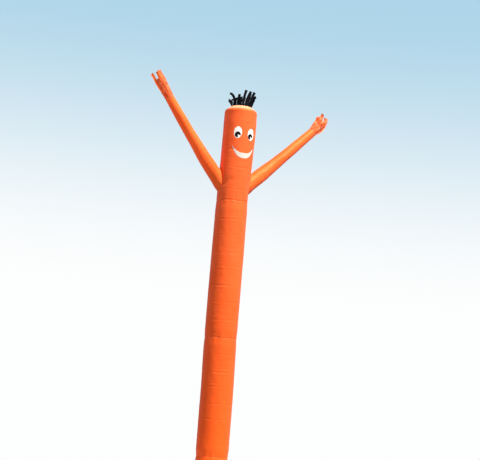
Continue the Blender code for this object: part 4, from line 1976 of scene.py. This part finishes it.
ARM_LEFT = (
    # reach, height, diameter
    (0.380, 4.529, 0.199), (0.474, 4.645, 0.188), (0.563, 4.765, 0.174),
    (0.652, 4.882, 0.164), (0.742, 5.001, 0.155), (0.829, 5.122, 0.150),
    (0.917, 5.242, 0.144), (1.004, 5.362, 0.137), (1.054, 5.434, 0.132),
)
ARM_RIGHT = (
    # reach, height, diameter
    (0.433, 4.513, 0.211), (0.547, 4.615, 0.196), (0.659, 4.718, 0.176),
    (0.771, 4.822, 0.166), (0.885, 4.928, 0.159), (0.997, 5.035, 0.153),
    (1.111, 5.144, 0.145), (1.224, 5.253, 0.138), (1.289, 5.316, 0.132),
)
ARM_CREASES = (
    # distance along the arm and depth of each crease, left arm and right arm
    ((0.31, 0.0024), (0.58, 0.0020), (0.86, 0.0022), (1.10, 0.0018)),
    ((0.29, 0.0022), (0.55, 0.0020), (0.84, 0.0022), (1.12, 0.0020)),
)
HANDS = (
    # strips, seed, flutter and cup, left hand and right hand
    (HAND_LEFT, 5, 0.006, 0.25), (HAND_RIGHT, 9, 0.009, 0.5),
)
PANELS = (
    # node, foot, head
    ("tube_sleeve", 0.000, 0.405), ("tube_lower", 0.405, 2.075),
    ("tube_middle", 2.075, 4.050), ("tube_shoulder", 4.050, 5.345),
)
FACE = (
    # side, eye's degrees from the front, its height and half width, pupil's degrees and height
    ("left", -28.6, 5.046, 0.0600, -28.0, 5.008), ("right", 21.6, 5.035, 0.0580, 19.9, 4.998),
)
HAIR_FOOT = 5.434
HAIR_RADIUS = 0.1488
HAIR_FILL = 0.95
HAND_FILL = 0.90
HAND_GAP = 0.0006


def build_tube(tube: AirTube) -> list[SeamLine]:
    """Build the four panels and the crown.

    Args:
        tube: Shape of the tube.

    Returns:
        Their seam lines.
    """
    lines: list[SeamLine] = []
    under: list[str] = []
    for node, foot, head in PANELS:
        panel = TubePanel(tube, node, foot, head)
        made = panel.dress(panel.build(), under)
        lines += panel.lines
        under = [made.name]
    crown = Crown(tube)
    crown.dress(crown.build())
    return lines + crown.lines


def build_arms(arms: Sequence[Arm]) -> list[SeamLine]:
    """Build the arms with their hands.

    Args:
        arms: The left arm and the right one.

    Returns:
        Their seam lines.
    """
    lines: list[SeamLine] = []
    for arm, (table, seed, flutter, cup) in zip(arms, HANDS):
        arm.dress(arm.build())
        wrist, along = arm.centres()[-1], arm.runs()[-1]
        hand = StripBand(arm.node.replace("arm", "hand"), Cloth.ORANGE, wrist + along * HAND_GAP,
                         along, arm.side(), arm.table[-1][2] / 2, HAND_FILL, table, seed,
                         flutter, cup)
        hand.dress(hand.build(), ["cloth_" + arm.node])
        lines += arm.lines + hand.lines
    return lines


def build_face(tube: AirTube) -> tuple[list[SeamLine], list[SeamLine]]:
    """Build the patches of the face.

    Args:
        tube: Tube that carries the face.

    Returns:
        The seam lines of the white patches and those of the black ones.
    """
    white: list[SeamLine] = []
    black: list[SeamLine] = []
    for tail, eye_turn, eye_height, eye_half, pupil_turn, pupil_height in FACE:
        eye = Eye(tube, "eye_" + tail, Cloth.WHITE, WHITE_LIFT,
                  middle=math.radians(eye_turn) * FACE_RADIUS, height=eye_height, half=eye_half)
        grid = eye.build()
        eye.dress(grid, [CHEST])
        white.append(grid.ring(2, FACE_THREAD_LIFT))
        pupil = Pupil(tube, "pupil_" + tail, Cloth.BLACK, BLACK_LIFT,
                      middle=math.radians(pupil_turn) * FACE_RADIUS, height=pupil_height)
        grid = pupil.build()
        pupil.dress(grid, ["cloth_eye_" + tail])
        black.append(grid.ring(1, FACE_THREAD_LIFT))
    smile = Smile(tube, "smile", Cloth.WHITE, WHITE_LIFT)
    grid = smile.build()
    smile.dress(grid, [CHEST])
    white += [grid.ring(row, FACE_THREAD_LIFT) for row in (1, len(grid.points) - 2)]
    return white, black


def build_hair(tube: AirTube) -> list[SeamLine]:
    """Build the hair in the vent.

    Args:
        tube: Tube that carries the head.

    Returns:
        Its seam lines.
    """
    middle = float(eased(tube.bow, HAIR_FOOT))
    foot = Vector((tube.axis[0] + middle, tube.axis[1], HAIR_FOOT))
    hair = StripBand("hair", Cloth.NAVY, foot, Vector((0, 0, 1)), Vector((1, 0, 0)), HAIR_RADIUS,
                     HAIR_FILL, HAIR, seed=3, flutter=0.004, cup=0.3, taper=1.05, rows=26, lanes=6)
    hair.dress(hair.build(), ["cloth_crown"])
    return hair.lines


def main() -> None:
    """Build the studio and every piece of the object."""
    logging.basicConfig(level=logging.INFO, format="%(message)s")
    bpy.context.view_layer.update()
    tube = AirTube()
    studio = Studio(tube.axis)
    studio.camera()
    studio.light()
    studio.backdrop_light()
    studio.floor()
    arms = (
        Arm(tube, "arm_left", 172.0, ARM_LEFT, ARM_CREASES[0], seed=200, root=0.206, shoulder=0.200),
        Arm(tube, "arm_right", 8.0, ARM_RIGHT, ARM_CREASES[1], seed=300, root=0.224, shoulder=0.213),
    )
    tube.ports = [arm.port() for arm in arms]
    tube_lines = build_tube(tube)
    arm_lines = build_arms(arms)
    white, black = build_face(tube)
    hair_lines = build_hair(tube)
    StitchRow().lay("stitches_tube", tube_lines, Cloth.ORANGE)
    StitchRow(pitch=0.005, length=0.0036).lay("stitches_arms", arm_lines, Cloth.ORANGE)
    zigzag = StitchRow(pitch=0.0034, length=0.0042, thread=0.0009, sew=Sew.ZIGZAG)
    zigzag.lay("stitches_face_white", white, Cloth.WHITE)
    zigzag.lay("stitches_face_black", black, Cloth.BLACK)
    StitchRow().lay("stitches_hair", hair_lines, Cloth.NAVY)


if __name__ == "__main__":
    main()
